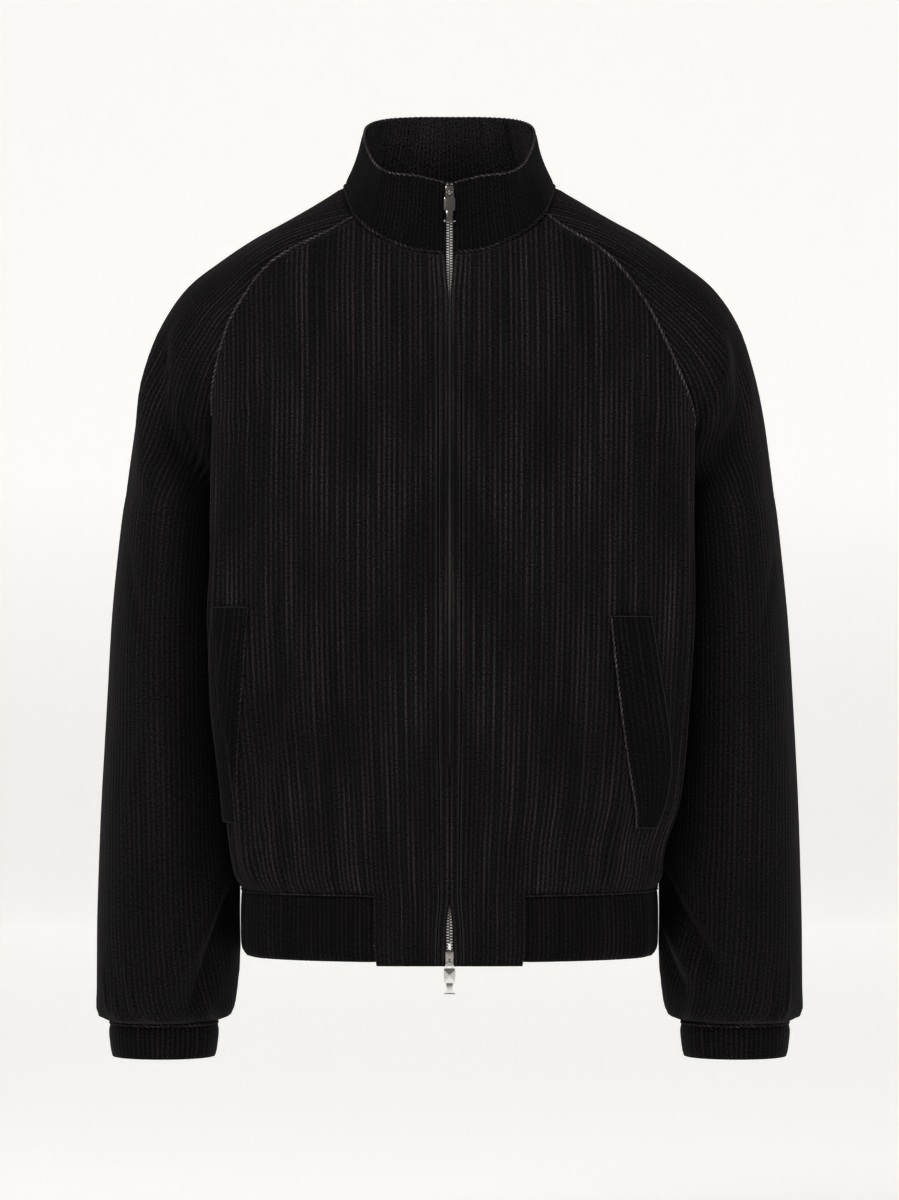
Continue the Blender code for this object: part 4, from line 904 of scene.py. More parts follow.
def threadMaterial(name, colour, step, roughness=0.8):
    # twisted or woven yarn: fine slanting twill lines on Object coordinates
    material, tree, shader = newMaterial(name, (("Roughness", roughness),))
    place = addNode(tree, "ShaderNodeTexCoord")
    lines = addNode(tree, "ShaderNodeTexWave", [(0, place.outputs["Object"])],
                    [("Scale", 1 / step / yarn["waveStep"]), ("Distortion", yarn["wander"])],
                    bands_direction="DIAGONAL")
    full = linear(colour)
    tone = addNode(tree, "ShaderNodeMix", [(0, lines.outputs[1])],
                   [(6, scaled(full, yarn["dark"])), (7, full)], data_type="RGBA")
    finishShader(tree, shader, tone.outputs[2], lines.outputs[1], yarn["bumpStrength"],
                 yarn["bumpDistance"])
    return material


wales = {
    "pitch": 0.0045,          # one rib and its groove on the body and sleeves
    "collarPitch": 0.0036,
    "depth": 0.00040,         # groove below the rib's top
    "steps": 4,               # columns drawn for each wale
    "wander": 0.0005,         # how far a rib strays sideways
    "uneven": 0.4,            # how much its depth differs from its neighbours'
    "seamReach": 0.0042,      # the seams draw the cloth in over this distance
    "seamDip": 0.0014,
}


def waleHeight(u, v, pitch=None):
    # 0 on a wale's top, below 0 in its groove: a flattened cosine that strays slowly sideways
    # and whose depth changes from wale to wale
    pitch = pitch or wales["pitch"]
    stray = wales["wander"] * np.sin(v * 61 + u * 23) * np.sin(v * 27 + u * 229 + 1.3)
    top = 0.5 - 0.5 * np.cos(2 * math.pi * (u + stray) / pitch)
    uneven = 1 + wales["uneven"] * np.sin(u * 733 + 0.8) * np.sin(v * 6 + u * 311)
    return -wales["depth"] * (1 - top**0.62) * uneven


def seamDip(distance):
    # how far the seam's stitching pulls the cloth in, by the distance from it
    return -wales["seamDip"] * np.exp(-(distance / wales["seamReach"]) ** 2)


def crumple(u, v, size, seed):
    # slow uneven swells of the cloth, a sum of crossing waves
    total = 0.0
    for k in range(1, 6):
        a = seed * 1.7 + k * 2.399
        total = total + np.sin((u * math.cos(a) + v * math.sin(a) * 0.7) * (22 + 9 * k) + a * 3.1) / k
    return size * total / 2


# Creases finer than the solids carry, each a ridge (height above 0) or a trough: on the
# fronts s, z at the start, s, z at the end, height, width.
fineFront = {
    -1: (
        (0.105, -0.328, 0.134, -0.448, -0.0022, 0.006),
        (0.134, -0.448, 0.168, -0.533, -0.0024, 0.006),
        (0.168, -0.533, 0.187, -0.577, -0.0026, 0.005),
        (0.116, -0.350, 0.146, -0.460, 0.0022, 0.006),
        (0.146, -0.460, 0.176, -0.530, 0.0024, 0.006),
        (0.150, -0.140, 0.196, -0.205, -0.0022, 0.008),
        (0.160, -0.138, 0.206, -0.200, 0.0018, 0.008),
        (0.212, -0.300, 0.204, -0.440, 0.0030, 0.005),
        (0.204, -0.440, 0.192, -0.578, 0.0034, 0.005),
        (0.226, -0.320, 0.212, -0.460, 0.0030, 0.005),
        (0.212, -0.460, 0.196, -0.580, 0.0032, 0.005),
        (0.240, -0.350, 0.224, -0.500, 0.0030, 0.006),
        (0.219, -0.330, 0.200, -0.570, -0.0030, 0.004),
        (0.232, -0.350, 0.208, -0.575, -0.0028, 0.004),
        (0.060, -0.535, 0.068, -0.590, 0.0022, 0.005),
        (0.078, -0.552, 0.080, -0.590, -0.0018, 0.004),
        (0.105, -0.545, 0.108, -0.590, -0.0022, 0.005),
        (0.116, -0.550, 0.121, -0.590, 0.0022, 0.005),
        (0.141, -0.556, 0.148, -0.590, 0.0020, 0.004),
        (0.155, -0.560, 0.163, -0.590, -0.0020, 0.004),
        (0.028, -0.180, 0.040, -0.420, 0.0016, 0.016),
    ),
    1: (
        (0.236, -0.562, 0.254, -0.590, -0.0017, 0.0034),
        (0.250, -0.556, 0.270, -0.586, 0.0015, 0.0034),
        (0.220, -0.568, 0.234, -0.591, 0.0014, 0.0034),
        (0.139, -0.448, 0.147, -0.520, -0.0024, 0.006),
        (0.147, -0.520, 0.153, -0.589, -0.0028, 0.006),
        (0.152, -0.450, 0.162, -0.585, 0.0026, 0.006),
        (0.039, -0.543, 0.053, -0.604, 0.0028, 0.006),
        (0.049, -0.540, 0.063, -0.595, -0.0022, 0.005),
        (0.150, -0.150, 0.190, -0.215, -0.0022, 0.008),
        (0.161, -0.148, 0.201, -0.210, 0.0018, 0.008),
        (0.205, -0.260, 0.212, -0.560, 0.0028, 0.005),
        (0.216, -0.300, 0.214, -0.575, -0.0030, 0.004),
        (0.226, -0.300, 0.222, -0.575, 0.0030, 0.005),
        (0.242, -0.340, 0.232, -0.580, 0.0028, 0.006),
        (0.083, -0.550, 0.085, -0.590, -0.0020, 0.005),
        (0.096, -0.548, 0.099, -0.590, 0.0020, 0.005),
        (0.115, -0.540, 0.122, -0.590, 0.0022, 0.005),
        (0.129, -0.552, 0.134, -0.590, -0.0020, 0.004),
        (0.172, -0.550, 0.177, -0.590, 0.0022, 0.004),
        (0.035, -0.200, 0.044, -0.400, 0.0015, 0.016),
    ),
}
fineBack = (
    (0.030, -0.120, 0.045, -0.300, 0.0018, 0.014),
    (-0.036, -0.110, -0.050, -0.300, 0.0018, 0.014),
    (0.150, -0.160, 0.120, -0.240, -0.0024, 0.008),
    (-0.146, -0.165, -0.112, -0.250, -0.0024, 0.008),
    (0.100, -0.520, 0.108, -0.590, 0.0026, 0.006),
    (0.112, -0.530, 0.118, -0.590, -0.0022, 0.005),
    (-0.100, -0.515, -0.110, -0.590, 0.0026, 0.006),
    (0.035, -0.530, 0.030, -0.590, 0.0022, 0.006),
    (0.066, -0.550, 0.064, -0.590, -0.0020, 0.005),
    (-0.060, -0.550, -0.058, -0.590, -0.0020, 0.005),
    (-0.130, -0.530, -0.134, -0.590, -0.0022, 0.005),
    (0.190, -0.300, 0.210, -0.540, 0.0028, 0.008),
    (-0.190, -0.300, -0.210, -0.540, 0.0028, 0.008),
)
# on the sleeves share round, z at the start, share, z at the end, height, width in shares
fineSleeve = {
    -1: (
        (0.340, -0.117, 0.124, -0.179, -0.0048, 0.0046),
        (0.124, -0.179, 0.097, -0.237, -0.0048, 0.0046),
        (0.151, -0.134, 0.008, -0.181, 0.0014, 0.0060),
        (0.300, -0.150, 0.150, -0.235, 0.0010, 0.0105),
        (0.38, -0.300, 0.30, -0.370, -0.0014, 0.0135),
        (0.035, -0.594, 0.112, -0.642, -0.0032, 0.0083),
        (0.112, -0.642, 0.156, -0.691, -0.0032, 0.0075),
        (0.075, -0.590, 0.165, -0.650, 0.0026, 0.0083),
        (0.150, -0.600, 0.240, -0.672, -0.0022, 0.0083),
        (0.200, -0.610, 0.290, -0.690, 0.0022, 0.0075),
        (0.340, -0.650, 0.310, -0.698, 0.0019, 0.0067),
        (0.375, -0.655, 0.350, -0.698, -0.0017, 0.0060),
        (0.420, -0.660, 0.400, -0.698, 0.0017, 0.0060),
        (0.28, -0.430, 0.34, -0.520, 0.0013, 0.0135),
        (0.72, -0.220, 0.86, -0.330, -0.0030, 0.0097),
        (0.75, -0.205, 0.89, -0.315, 0.0023, 0.0097),
        (0.84, -0.610, 0.74, -0.690, -0.0030, 0.0090),
        (0.62, -0.640, 0.68, -0.698, 0.0019, 0.0075),
    ),
    1: (
        (0.228, -0.117, 0.025, -0.184, 0.0029, 0.0083),
        (0.025, -0.184, 0.023, -0.202, 0.0026, 0.0075),
        (0.255, -0.130, 0.060, -0.198, -0.0030, 0.0090),
        (0.330, -0.125, 0.160, -0.215, 0.0012, 0.0097),
        (0.40, -0.300, 0.31, -0.380, -0.0014, 0.0135),
        (0.021, -0.579, 0.060, -0.604, -0.0033, 0.0075),
        (0.060, -0.604, 0.129, -0.629, -0.0035, 0.0075),
        (0.129, -0.629, 0.195, -0.662, -0.0030, 0.0075),
        (0.040, -0.570, 0.200, -0.640, 0.0027, 0.0083),
        (0.004, -0.632, 0.093, -0.677, -0.0029, 0.0075),
        (0.030, -0.620, 0.140, -0.672, 0.0022, 0.0075),
        (0.220, -0.640, 0.260, -0.698, 0.0019, 0.0067),
        (0.299, -0.665, 0.295, -0.700, 0.0023, 0.0067),
        (0.330, -0.655, 0.335, -0.700, -0.0019, 0.0060),
        (0.390, -0.655, 0.380, -0.700, 0.0019, 0.0067),
        (0.30, -0.420, 0.36, -0.500, 0.0013, 0.0135),
        (0.73, -0.220, 0.87, -0.320, -0.0030, 0.0097),
        (0.76, -0.205, 0.90, -0.305, 0.0023, 0.0097),
        (0.82, -0.600, 0.72, -0.690, -0.0030, 0.0090),
    ),
}


def edgeHold(distance, reach=0.014):
    return ease(distance / reach)


def waleColumns(reach):
    # places from the centre back out to reach on both sides, some for each wale
    step = wales["pitch"] / wales["steps"]
    half = np.concatenate([np.arange(step, reach, step), [reach]])
    return np.concatenate([-half[::-1], [0.0], half])


frontPanel = {
    "rows": 84,
    "lowerRows": 11,          # in the part beside the zip, below the band's seam
    "sideHold": 0.02,         # creases fade out over this distance from the side seam
    "swell": 0.0009,
    "stitchDepth": 0.0006,    # the zip's two rows of stitches press the edge in
    "stitchAt": 0.0085,
    "stitchReach": 0.0016,
    "roll": 0.0004,           # the edges roll over towards the chain
    "rollReach": 0.01,
}


def dressedFront(s, z, side, lift=0.0):
    # a front's form with fine creases, wales and the seams' pull; s and z as on the body
    top = topOfFront(s, side)
    free = edgeHold(z - bandSeamZ) * edgeHold(top - z) * edgeHold(frontWidth - s, frontPanel["sideHold"])
    low = np.where((s > bandStart) | (z > bandSeamZ), np.abs(z - bandSeamZ), seamFar)
    fine = (relief(s, z, fineFront[side]) + crumple(s, z, frontPanel["swell"], side)) * free
    pull = seamDip(np.minimum(np.abs(top - z), low)) + seamDip(frontWidth - s)
    near = (s - frontPanel["stitchAt"]) / frontPanel["stitchReach"]
    stitch = -frontPanel["stitchDepth"] * np.exp(-near ** 2)
    return frontPoints(s, z, side, fine + pull + stitch + waleHeight(s, z) + lift)


def makeFront(name, side, material):
    steps = wales["pitch"] / wales["steps"]
    columns = np.arange(0, frontWidth - seamGap / 2, steps)
    columns = np.unique(np.concatenate([columns, [bandStart, frontWidth - seamGap / 2]]))
    top = topOfFront(columns, side) - seamGap
    rows = np.linspace(0, 1, frontPanel["rows"])
    low = bandSeamZ + seamGap / 2
    upper = low + rows[:, None] * (top - low)[None, :]
    lower = np.linspace(hemZ, low, frontPanel["lowerRows"] + 1)[:-1, None] + 0 * columns[None, :]
    z = np.vstack([lower, upper])
    s = np.broadcast_to(columns, z.shape)
    points = dressedFront(s - frontPanel["roll"] * ease(1 - s / frontPanel["rollReach"]), z, side)
    quads = gridQuads(*z.shape)
    row, column = np.divmod(quads[:, 0], z.shape[1])
    # below the band's seam only the part beside the zip goes on
    keep = (row >= frontPanel["lowerRows"]) | (columns[column + 1] <= bandStart + tiny)
    return clothPiece(name, mirrored(points, side), s, z, side < 0, clothWall, material, quads[keep])


backPanel = {"rows": 80, "sideHold": 0.02, "swell": 0.0010}


def makeBack(name, material):
    reach = halfGirth - frontWidth - seamGap / 2
    columns = waleColumns(reach)
    top = topOfBack(halfGirth - np.abs(columns)) - seamGap
    low = bandSeamZ + seamGap / 2
    z = low + np.linspace(0, 1, backPanel["rows"])[:, None] * (top - low)[None, :]
    s = np.broadcast_to(columns, z.shape)
    inward = reach - np.abs(s)
    free = edgeHold(z - bandSeamZ) * edgeHold(top - z) * edgeHold(inward, backPanel["sideHold"])
    rise = (relief(s, z, fineBack) + crumple(s, z, backPanel["swell"], 3)) * free + waleHeight(s, z)
    rise = rise + seamDip(np.minimum(top - z, z - low)) + seamDip(inward)
    away = mirrorSigns(np.sign(s + sideNudge), outward(halfGirth - np.abs(s), z, 1))
    points = backPoints(s, z) + away * rise[..., None]
    return clothPiece(name, points, s, z, True, clothWall, material)


sleevePanel = {
    "upperRows": 42,
    "lowerRows": 72,
    "samples": 193,           # points round, from which the wales' places are read
    "cuffHold": 0.010,
    "neckHold": 0.03,
    "swell": 0.0011,
}


def makeSleeve(name, side, material):
    # wales keep a constant distance along the cloth from the sleeve's crest, so the raglan seam
    # and the underarm seam cut them off
    upper = np.linspace(0, 1, sleevePanel["upperRows"] + 1)
    lower = 1 + np.linspace(0, 1, sleevePanel["lowerRows"] + 1)[1:] * (armpitZ - cuffSeamZ)
    v = np.concatenate([upper, lower])
    w = np.linspace(0, 1, sleevePanel["samples"])
    vGrid, wGrid = np.meshgrid(v, w, indexing="ij")
    coarse = sleevePoints(wGrid, vGrid, side)
    middle = len(w) // 2
    run = np.cumsum(np.linalg.norm(np.diff(coarse, axis=1), axis=2), axis=1)
    run = np.concatenate([np.zeros((len(v), 1)), run], axis=1)
    run = run - run[:, middle:middle + 1]
    step = wales["pitch"] / wales["steps"]
    reach = np.ceil(np.abs(run).max() / step) * step
    offsets = np.arange(-reach, reach + step / 2, step)
    u = np.clip(offsets[None, :], run[:, :1], run[:, -1:])
    at = np.stack([np.interp(u[j], run[j], w) for j in range(len(v))])
    vFine = np.broadcast_to(v[:, None], at.shape)
    points = sleevePoints(at, vFine, side)
    normal = -normalsOf(coarse)
    normal = np.stack([np.stack([np.interp(at[j], w, normal[j, :, k]) for k in range(3)], axis=-1)
                       for j in range(len(v))])
    normal = unit(normal)
    vRun = np.broadcast_to(runAlong(coarse[:, middle])[:, None], at.shape)
    edge = np.minimum(u - run[:, :1], run[:, -1:] - u)
    z = points[..., 2]
    free = edgeHold(edge) * edgeHold(z - cuffSeamZ, sleevePanel["cuffHold"])
    free = free * edgeHold(vRun, sleevePanel["neckHold"])
    fine = relief(at, z, fineSleeve[side], stretch=sleeveGirth)
    fine = (fine + crumple(u, vRun, sleevePanel["swell"], 5 + side)) * free
    rise = sleeveRelief(at, vFine, points, side) + fine + waleHeight(u, vRun)
    # the underarm seam lies flat, so only the raglan, neck and cuff seams draw the cloth in
    drawn = np.where(vFine < 1.0, edge, seamFar)
    rise = rise + seamDip(np.minimum(drawn, np.minimum(z - cuffSeamZ, vRun)))
    points = points + normal * rise[..., None]
    # from the armpit down both edges are one seam, and meet in the same points
    join = (points[:, 0] + points[:, -1]) / 2
    atEdge = ((at <= w[0] + sideNudge) | (at >= w[-1] - sideNudge)) & (v >= 1.0)[:, None]
    points = np.where(atEdge[..., None], join[:, None, :], points)
    return clothPiece(name, mirrored(points, side), u, vRun, side > 0, clothWall, material)


collarPiece = {
    "rows": 22,
    "columns": 520,
    "tall": 0.06,
    "waleShare": 0.85,        # depth of its wales against the body's
    "topDip": 0.6,            # and of its upper edge's seam
    "swell": 0.0005,
    "swellRun": 3,
    "edgeShare": 4,           # the swells fade over one part in this of its height
}


def collarPoints(share, height):
    # share runs from -1 at the zip's left side, through 0 at the centre back, to 1
    right = collarHalf(1 - np.abs(share), height, 1)
    left = mirrored(collarHalf(1 - np.abs(share), height, -1), -1)
    return np.where((share < 0)[..., None], left, right)


def makeCollar(name, material, inside):
    share = np.linspace(-1, 1, collarPiece["columns"] + 1)
    height = np.linspace(0, 1, collarPiece["rows"] + 1)
    heightGrid, shareGrid = np.meshgrid(height, share, indexing="ij")
    points = collarPoints(shareGrid, heightGrid)
    run = runAlong(points[len(height) // 2])
    u = np.broadcast_to(run - run[len(run) // 2], points.shape[:2])
    v = heightGrid * collarPiece["tall"]
    rise = waleHeight(u, v, wales["collarPitch"]) * collarPiece["waleShare"]
    rise = rise + seamDip((1 - heightGrid) * collarPiece["tall"]) * collarPiece["topDip"]
    free = ease(heightGrid * collarPiece["edgeShare"])
    swell = crumple(u, v * collarPiece["swellRun"], collarPiece["swell"], 9) * free
    rise = rise + seamDip(v) + swell * ease((1 - heightGrid) * collarPiece["edgeShare"])
    points = points - normalsOf(points) * rise[..., None]
    piece = clothPiece(name, points, u, v, True, doubleCloth, material)
    # its inner side takes the brighter copy of the corduroy, with painted light
    piece.data.materials.append(inside)
    piece.modifiers["wall"].material_offset = 1


bandPiece = {
    "rows": 14,
    "endDip": 0.7,
    "turn": 0.0012,           # the folded lower edge is rounded by this
    "turnReach": 0.0028,
    "fill": 0.0008,           # the band fills out to the sleeves at the wearer's sides
    "fillReach": 0.06,
}


def makeBand(name, material):
    reach = halfGirth - bandStart - seamGap * 2
    columns = waleColumns(reach)
    z = np.linspace(bandEndZ, bandSeamZ - seamGap / 2, bandPiece["rows"] + 1)[:, None] + 0 * columns
    s = np.broadcast_to(columns, z.shape)
    rise = waleHeight(s, z) + seamDip(bandSeamZ - z) + seamDip(reach - np.abs(s)) * bandPiece["endDip"]
    rise = rise - bandPiece["turn"] * np.exp(-((z - bandEndZ) / bandPiece["turnReach"]) ** 2)
    around = halfGirth - np.abs(s)
    rise = rise + bandPiece["fill"] * ease(1 - np.abs(around - frontWidth) / bandPiece["fillReach"])
    away = mirrorSigns(np.where(s < 0, -1.0, 1.0), outward(around, z, 1))
    points = bandPoints(s, z) + away * rise[..., None]
    return clothPiece(name, points, s, z, True, doubleCloth, material)


cuffPiece = {"rows": 9, "columns": 232, "turn": 0.001, "turnReach": 0.0028}


def cuffAway(ring, side):
    # level directions out of the sleeve's foot
    centre = np.array([side * (sleeveFoot[0] + sleeveFoot[1]) / 2, sleeveFoot[2], 0.0])
    return unit((ring - centre) * [1, 1, 0])


def makeCuff(name, side, material):
    w = np.linspace(0, 1, cuffPiece["columns"] + 1)
    z = np.linspace(cuffSeamZ - seamGap, cuffEndZ, cuffPiece["rows"] + 1)
    zGrid, wGrid = np.meshgrid(z, w, indexing="ij")
    points = cuffRing(wGrid, zGrid)
    run = runAlong(points[0])
    # a whole number of wales goes round
    u = np.broadcast_to(run / run[-1] * round(run[-1] / wales["pitch"]) * wales["pitch"], points.shape[:2])
    rise = waleHeight(u, zGrid * 0) + seamDip(cuffSeamZ - zGrid)
    rise = rise - cuffPiece["turn"] * np.exp(-((zGrid - cuffEndZ) / cuffPiece["turnReach"]) ** 2)
    points = points + cuffAway(points, 1) * rise[..., None]
    points[:, -1] = points[:, 0]
    return clothPiece(name, mirrored(points, side), u, zGrid, side > 0, doubleCloth, material)


weltPiece = {
    "columns": 36,
    "rows": 96,
    "wide": 0.036,
    "waleShare": 0.3,
    "rim": 0.0007,            # its long edges are turned in by this
    "rimShare": 0.08,
    "wall": 0.8,              # share of its thickness that is cloth
}


def weltGrid(across, t, side):
    # place on the front of a share across and down the welt
    rows = np.array(weltLeft if side < 0 else weltRight)
    edge = smooth(np.linspace(0, 1, len(rows)), rows, t)
    return edge[..., 0] * (1 - across) + edge[..., 1] * across, edge[..., 2]


def makeWelt(name, side, material):
    t, across = np.meshgrid(np.linspace(0, 1, weltPiece["rows"]), np.linspace(0, 1, weltPiece["columns"]),
                            indexing="ij")
    s, z = weltGrid(across, t, side)
    u = across * weltPiece["wide"]
    rise = weltLift + weltThickness + waleHeight(u, z) * weltPiece["waleShare"]
    rims = sum(np.exp(-(inward / weltPiece["rimShare"]) ** 2) for inward in (across, 1 - across))
    points = frontPoints(s, z, side, rise - weltPiece["rim"] * rims)
    wall = weltThickness * weltPiece["wall"]
    return clothPiece(name, mirrored(points, side), u, z, side > 0, wall, material)


seams = {
    "rope": 0.00118,          # radius of a seam's rolled edge
    "twist": 0.0048,          # one turn of its twist, where the cut wales roll over
    "lobe": 0.0032,           # width that the pattern takes for one lobe
    "lobeHeight": 0.26,
    "wobble": 0.05,
    "wobbleRun": 911,
    "sides": 10,
    "step": 0.0009,
    "thread": 0.00034,        # sewing thread, drawn a little coarser than real
    "threadSides": 6,
    "threadStep": 0.0006,
    "stitch": 0.0030,
    "stitchThin": 0.25,       # the thread's least width, as a share
}
# each rolled edge's size against the common one, and how far it sinks in, in its own radii
ropes = {
    "raglan": (1.0, 0.0),
    "cuff": (1.1, 0.35),
    "band_end": (0.5, 0.8),
    "side": (0.7, 0.9),
    "welt": (0.7, 0.3),
    "hem_band": (0.6, 0.5),
    "neck": (1.2, 1.1),
    "collar_top": (0.85, 0.4),
}


def evenPath(path, step):
    # the same path with points at an even distance along it
    run = runAlong(path)
    keep = np.concatenate([[True], np.diff(run) > 1e-7])
    path, run = path[keep], run[keep]
    at = np.linspace(0, run[-1], max(int(run[-1] / step), 4))
    return np.stack([np.interp(at, run, path[:, k]) for k in range(3)], axis=-1), at


def carryTube(name, path, away, radius, shape, sides, step, closed=False):
    # a profile carried along a path: centre + shape(angle, run) * (cos * away + sin * across)
    run0 = runAlong(path)
    centre, run = evenPath(path, step)
    normal = np.stack([np.interp(run, run0 * run[-1] / run0[-1], away[:, k]) for k in range(3)], axis=-1)
    along = unit(np.gradient(centre, axis=0))
    across = unit(np.cross(along, normal))
    normal = np.cross(across, along)
    angle = np.linspace(0, 2 * math.pi, sides + 1)
    runGrid, angleGrid = np.meshgrid(run, angle, indexing="ij")
    size = radius * shape(angleGrid, runGrid)
    if not closed:
        ends = np.clip(np.minimum(runGrid, run[-1] - runGrid) / radius, 0, 1)
        size = size * np.sqrt(np.maximum(1 - (1 - ends) ** 2, 0))
    points = centre[:, None] + size[..., None] * (np.cos(angleGrid)[..., None] * normal[:, None]
                                                 + np.sin(angleGrid)[..., None] * across[:, None])
    if closed:
        points[-1] = points[0]
    points[:, -1] = points[:, 0]
    # u counts the lobes of the twist, so the lit lines of the pile run along them
    uv = np.stack([(angleGrid / math.pi - runGrid / seams["twist"] + 0.5) * seams["lobe"], runGrid], axis=-1)
    return makeMesh(name, points, gridQuads(*size.shape), uv)


def ropeShape(angle, run):
    # two lobes that turn along the seam
    lobes = seams["lobeHeight"] * np.cos(2 * (angle - math.pi * run / seams["twist"]))
    return 1 + lobes + seams["wobble"] * np.sin(run * seams["wobbleRun"])


def stitchShape(angle, run):
    # the same all round, full along a stitch, thin where the thread dives into the cloth
    full = np.abs(np.sin(math.pi * run / seams["stitch"])) ** 0.4
    return seams["stitchThin"] + (1 - seams["stitchThin"]) * full + 0 * angle


def ropeSeam(name, kind, path, away, material, closed=False):
    size, sink = ropes[kind]
    radius = seams["rope"] * size
    path = path - away * radius * sink
    piece = carryTube(name, path, away, radius, ropeShape, seams["sides"], seams["step"], closed)
    finishPiece(piece, material, [])


def stitchLine(name, path, away, material):
    piece = carryTube(name, path, away, seams["thread"], stitchShape, seams["threadSides"],
                      seams["threadStep"])
    finishPiece(piece, material, [])


def onFront(s, z, side, lift=0.0):
    # points and outward directions along a line on a front
    s, z = np.broadcast_arrays(np.asarray(s, float), np.asarray(z, float))
    points = mirrored(frontPoints(s, z, side, lift + 0 * s), side)
    return points, mirrored(outward(s, z, side), side)


seamPlaces = {
    "raglanLift": -0.0004,    # heights above the cloth's form
    "cuffInset": 0.0012,
    "bandEndLift": -0.0006,
    "stitchLift": -0.0002,
    "stitchRows": (0.0078, 0.0105),   # from the zip
    "stitchEnd": 0.002,
    "sideEnd": 0.004,         # below the armpit
    "weltStitch": 0.0022,     # in from the welt's outer edge
    "weltEdge": 0.3,          # heights on the welt, as shares of its thickness
    "weltEndLift": 0.9,
    "weltEnds": (0.004, 0.996),
    "weltEndSpan": (0.02, 0.98),
}


def makeSideSeams(side, word, cord, lessLitCord, thread):
    # the seams and stitches of one half
    at = seamPlaces
    s, z = seam(np.linspace(0.0, 1.0, 300), side, False)
    ropeSeam(f"seam_raglan_front_{word}", "raglan", *onFront(s, z, side, at["raglanLift"]), cord)
    s, z = seam(np.linspace(0.0, 1.0, 300), side, True)
    path = mirrored(torso(s, z, 1), side)
    ropeSeam(f"seam_raglan_back_{word}", "raglan", path, mirrored(outward(s, z, 1), side), cord)
    w = np.linspace(0, 1, 240)
    ring = mirrored(cuffRing(w, np.full_like(w, cuffSeamZ - seamGap / 2)), side)
    away = cuffAway(ring, side)
    ropeSeam(f"seam_cuff_{word}", "cuff", ring - away * at["cuffInset"], away, lessLitCord, closed=True)
    z = np.linspace(bandEndZ, bandSeamZ, 40)
    line = onFront(np.full_like(z, bandStart), z, side, at["bandEndLift"])
    ropeSeam(f"seam_band_end_{word}", "band_end", *line, lessLitCord)
    z = np.linspace(hemZ + at["stitchEnd"], neckFront[0][1] - at["stitchEnd"], 500)
    for k, place in enumerate(at["stitchRows"]):
        line = onFront(np.full_like(z, place), z, side, at["stitchLift"])
        stitchLine(f"stitch_front_{word}_{k}", *line, thread)
    z = np.linspace(bandSeamZ, armpitZ - at["sideEnd"], 200)
    s = np.full_like(z, frontWidth)
    line = mirrored(torso(s, z, side), side), mirrored(outward(s, z, side), side)
    ropeSeam(f"seam_side_{word}", "side", *line, lessLitCord)
    t = np.linspace(0.0, 1.0, 200)
    line = onFront(*weltGrid(np.zeros_like(t), t, side), side, weltLift + weltThickness * at["weltEdge"])
    # the right welt's edge takes the brighter painted highlight, the left one the lesser
    ropeSeam(f"welt_edge_{word}", "welt", *line, cord if side > 0 else lessLitCord)
    s, z = weltGrid(np.ones_like(t), t, side)
    line = onFront(s - at["weltStitch"], z, side, weltLift + weltThickness)
    stitchLine(f"welt_stitch_{word}", *line, thread)
    across = np.linspace(*at["weltEndSpan"], 60)
    for k, end in enumerate(at["weltEnds"]):
        s, z = weltGrid(across, np.full_like(across, end), side)
        line = onFront(s, z, side, weltLift + weltThickness * at["weltEndLift"])
        stitchLine(f"welt_end_{word}_{k}", *line, thread)


def makeRoundSeams(cord, lessLitCord):
    # the seams that go round the body: over the hem band, at the neck and on the collar
    s = np.linspace(-(halfGirth - bandStart), halfGirth - bandStart, 900)
    z = np.full_like(s, bandSeamZ)
    away = mirrorSigns(np.where(s < 0, -1.0, 1.0), outward(halfGirth - np.abs(s), z, 1))
    ropeSeam("seam_hem_band", "hem_band", bandPoints(s, z), away, lessLitCord)
    share = np.linspace(-1, 1, 500)
    low = collarPoints(share, np.full_like(share, 0.0))
    high = collarPoints(share, np.full_like(share, 1.0))
    lowAway, highAway = (unit((path - np.array(neckMiddle)) * [1, 1, 0]) for path in (low, high))
    ropeSeam("seam_neck", "neck", low, lowAway, lessLitCord)
    up = np.broadcast_to([0.0, 0.0, 1.0], high.shape)
    ropeSeam("collar_top_edge", "collar_top", high - highAway * doubleCloth / 2, up, cord)


zipParts = {
    "tooth": 0.00244,         # from one tooth to the next on the same side
    "toothHigh": 0.00112,
    "toothWide": 0.0028,
    "foot": 0.0008,           # the chain starts this far above the zip's foot
    "head": 0.001,
    "line": 0.0005,           # the chain's course is read at this step
    "leanReach": 0.002,
    "tapeHead": 0.004,
    "tapeInset": 0.0012,
    "archBite": 0.0002,       # the arch's feet pass into the slider's plate
    "plateBevel": 0.0004,
    "postBite": 0.0003,
    "rimWide": 0.0006,        # the slider's side rims
    "rimShare": 0.5,
    "rimShift": 0.0026,
    "rimInset": 0.0002,
    "thinBevel": 0.0002,
    "bevel": 0.0003,
    "sharp": 38,              # faces that meet at more degrees than this make an edge
}
# a tooth's upper half in x (metres, or shares of its width) and z (shares of its height)
toothTip = ((0.0002, 0.32), (0.0006, 0.5))
toothRoot = ((0.8, 0.5), (1.0, 0.3))
toothDepths = ((-1.0, 0.7), (-0.9, 0.9), (-0.5, 1.0), (1.0, 0.9))
# half of a slider's outline, as shares of its half width and half length
sliderHalf = (
    (0.0, 0.94), (0.3, 1.0), (0.86, 0.96), (1.12, 0.72), (1.12, 0.35), (0.96, 0.0), (0.92, -0.82),
    (0.70, -1.0),
)
# half of a pull's stem, as shares of its width and length
stemHalf = ((0.5, 0.5), (0.42, 0.0), (0.46, -0.5))


def turnX(points, angle, place):
    # turn about X by the angle, then move to the place
    c, s = math.cos(angle), math.sin(angle)
    y, z = points[..., 1], points[..., 2]
    return np.stack([points[..., 0], y * c - z * s, y * s + z * c], axis=-1) + np.asarray(place)


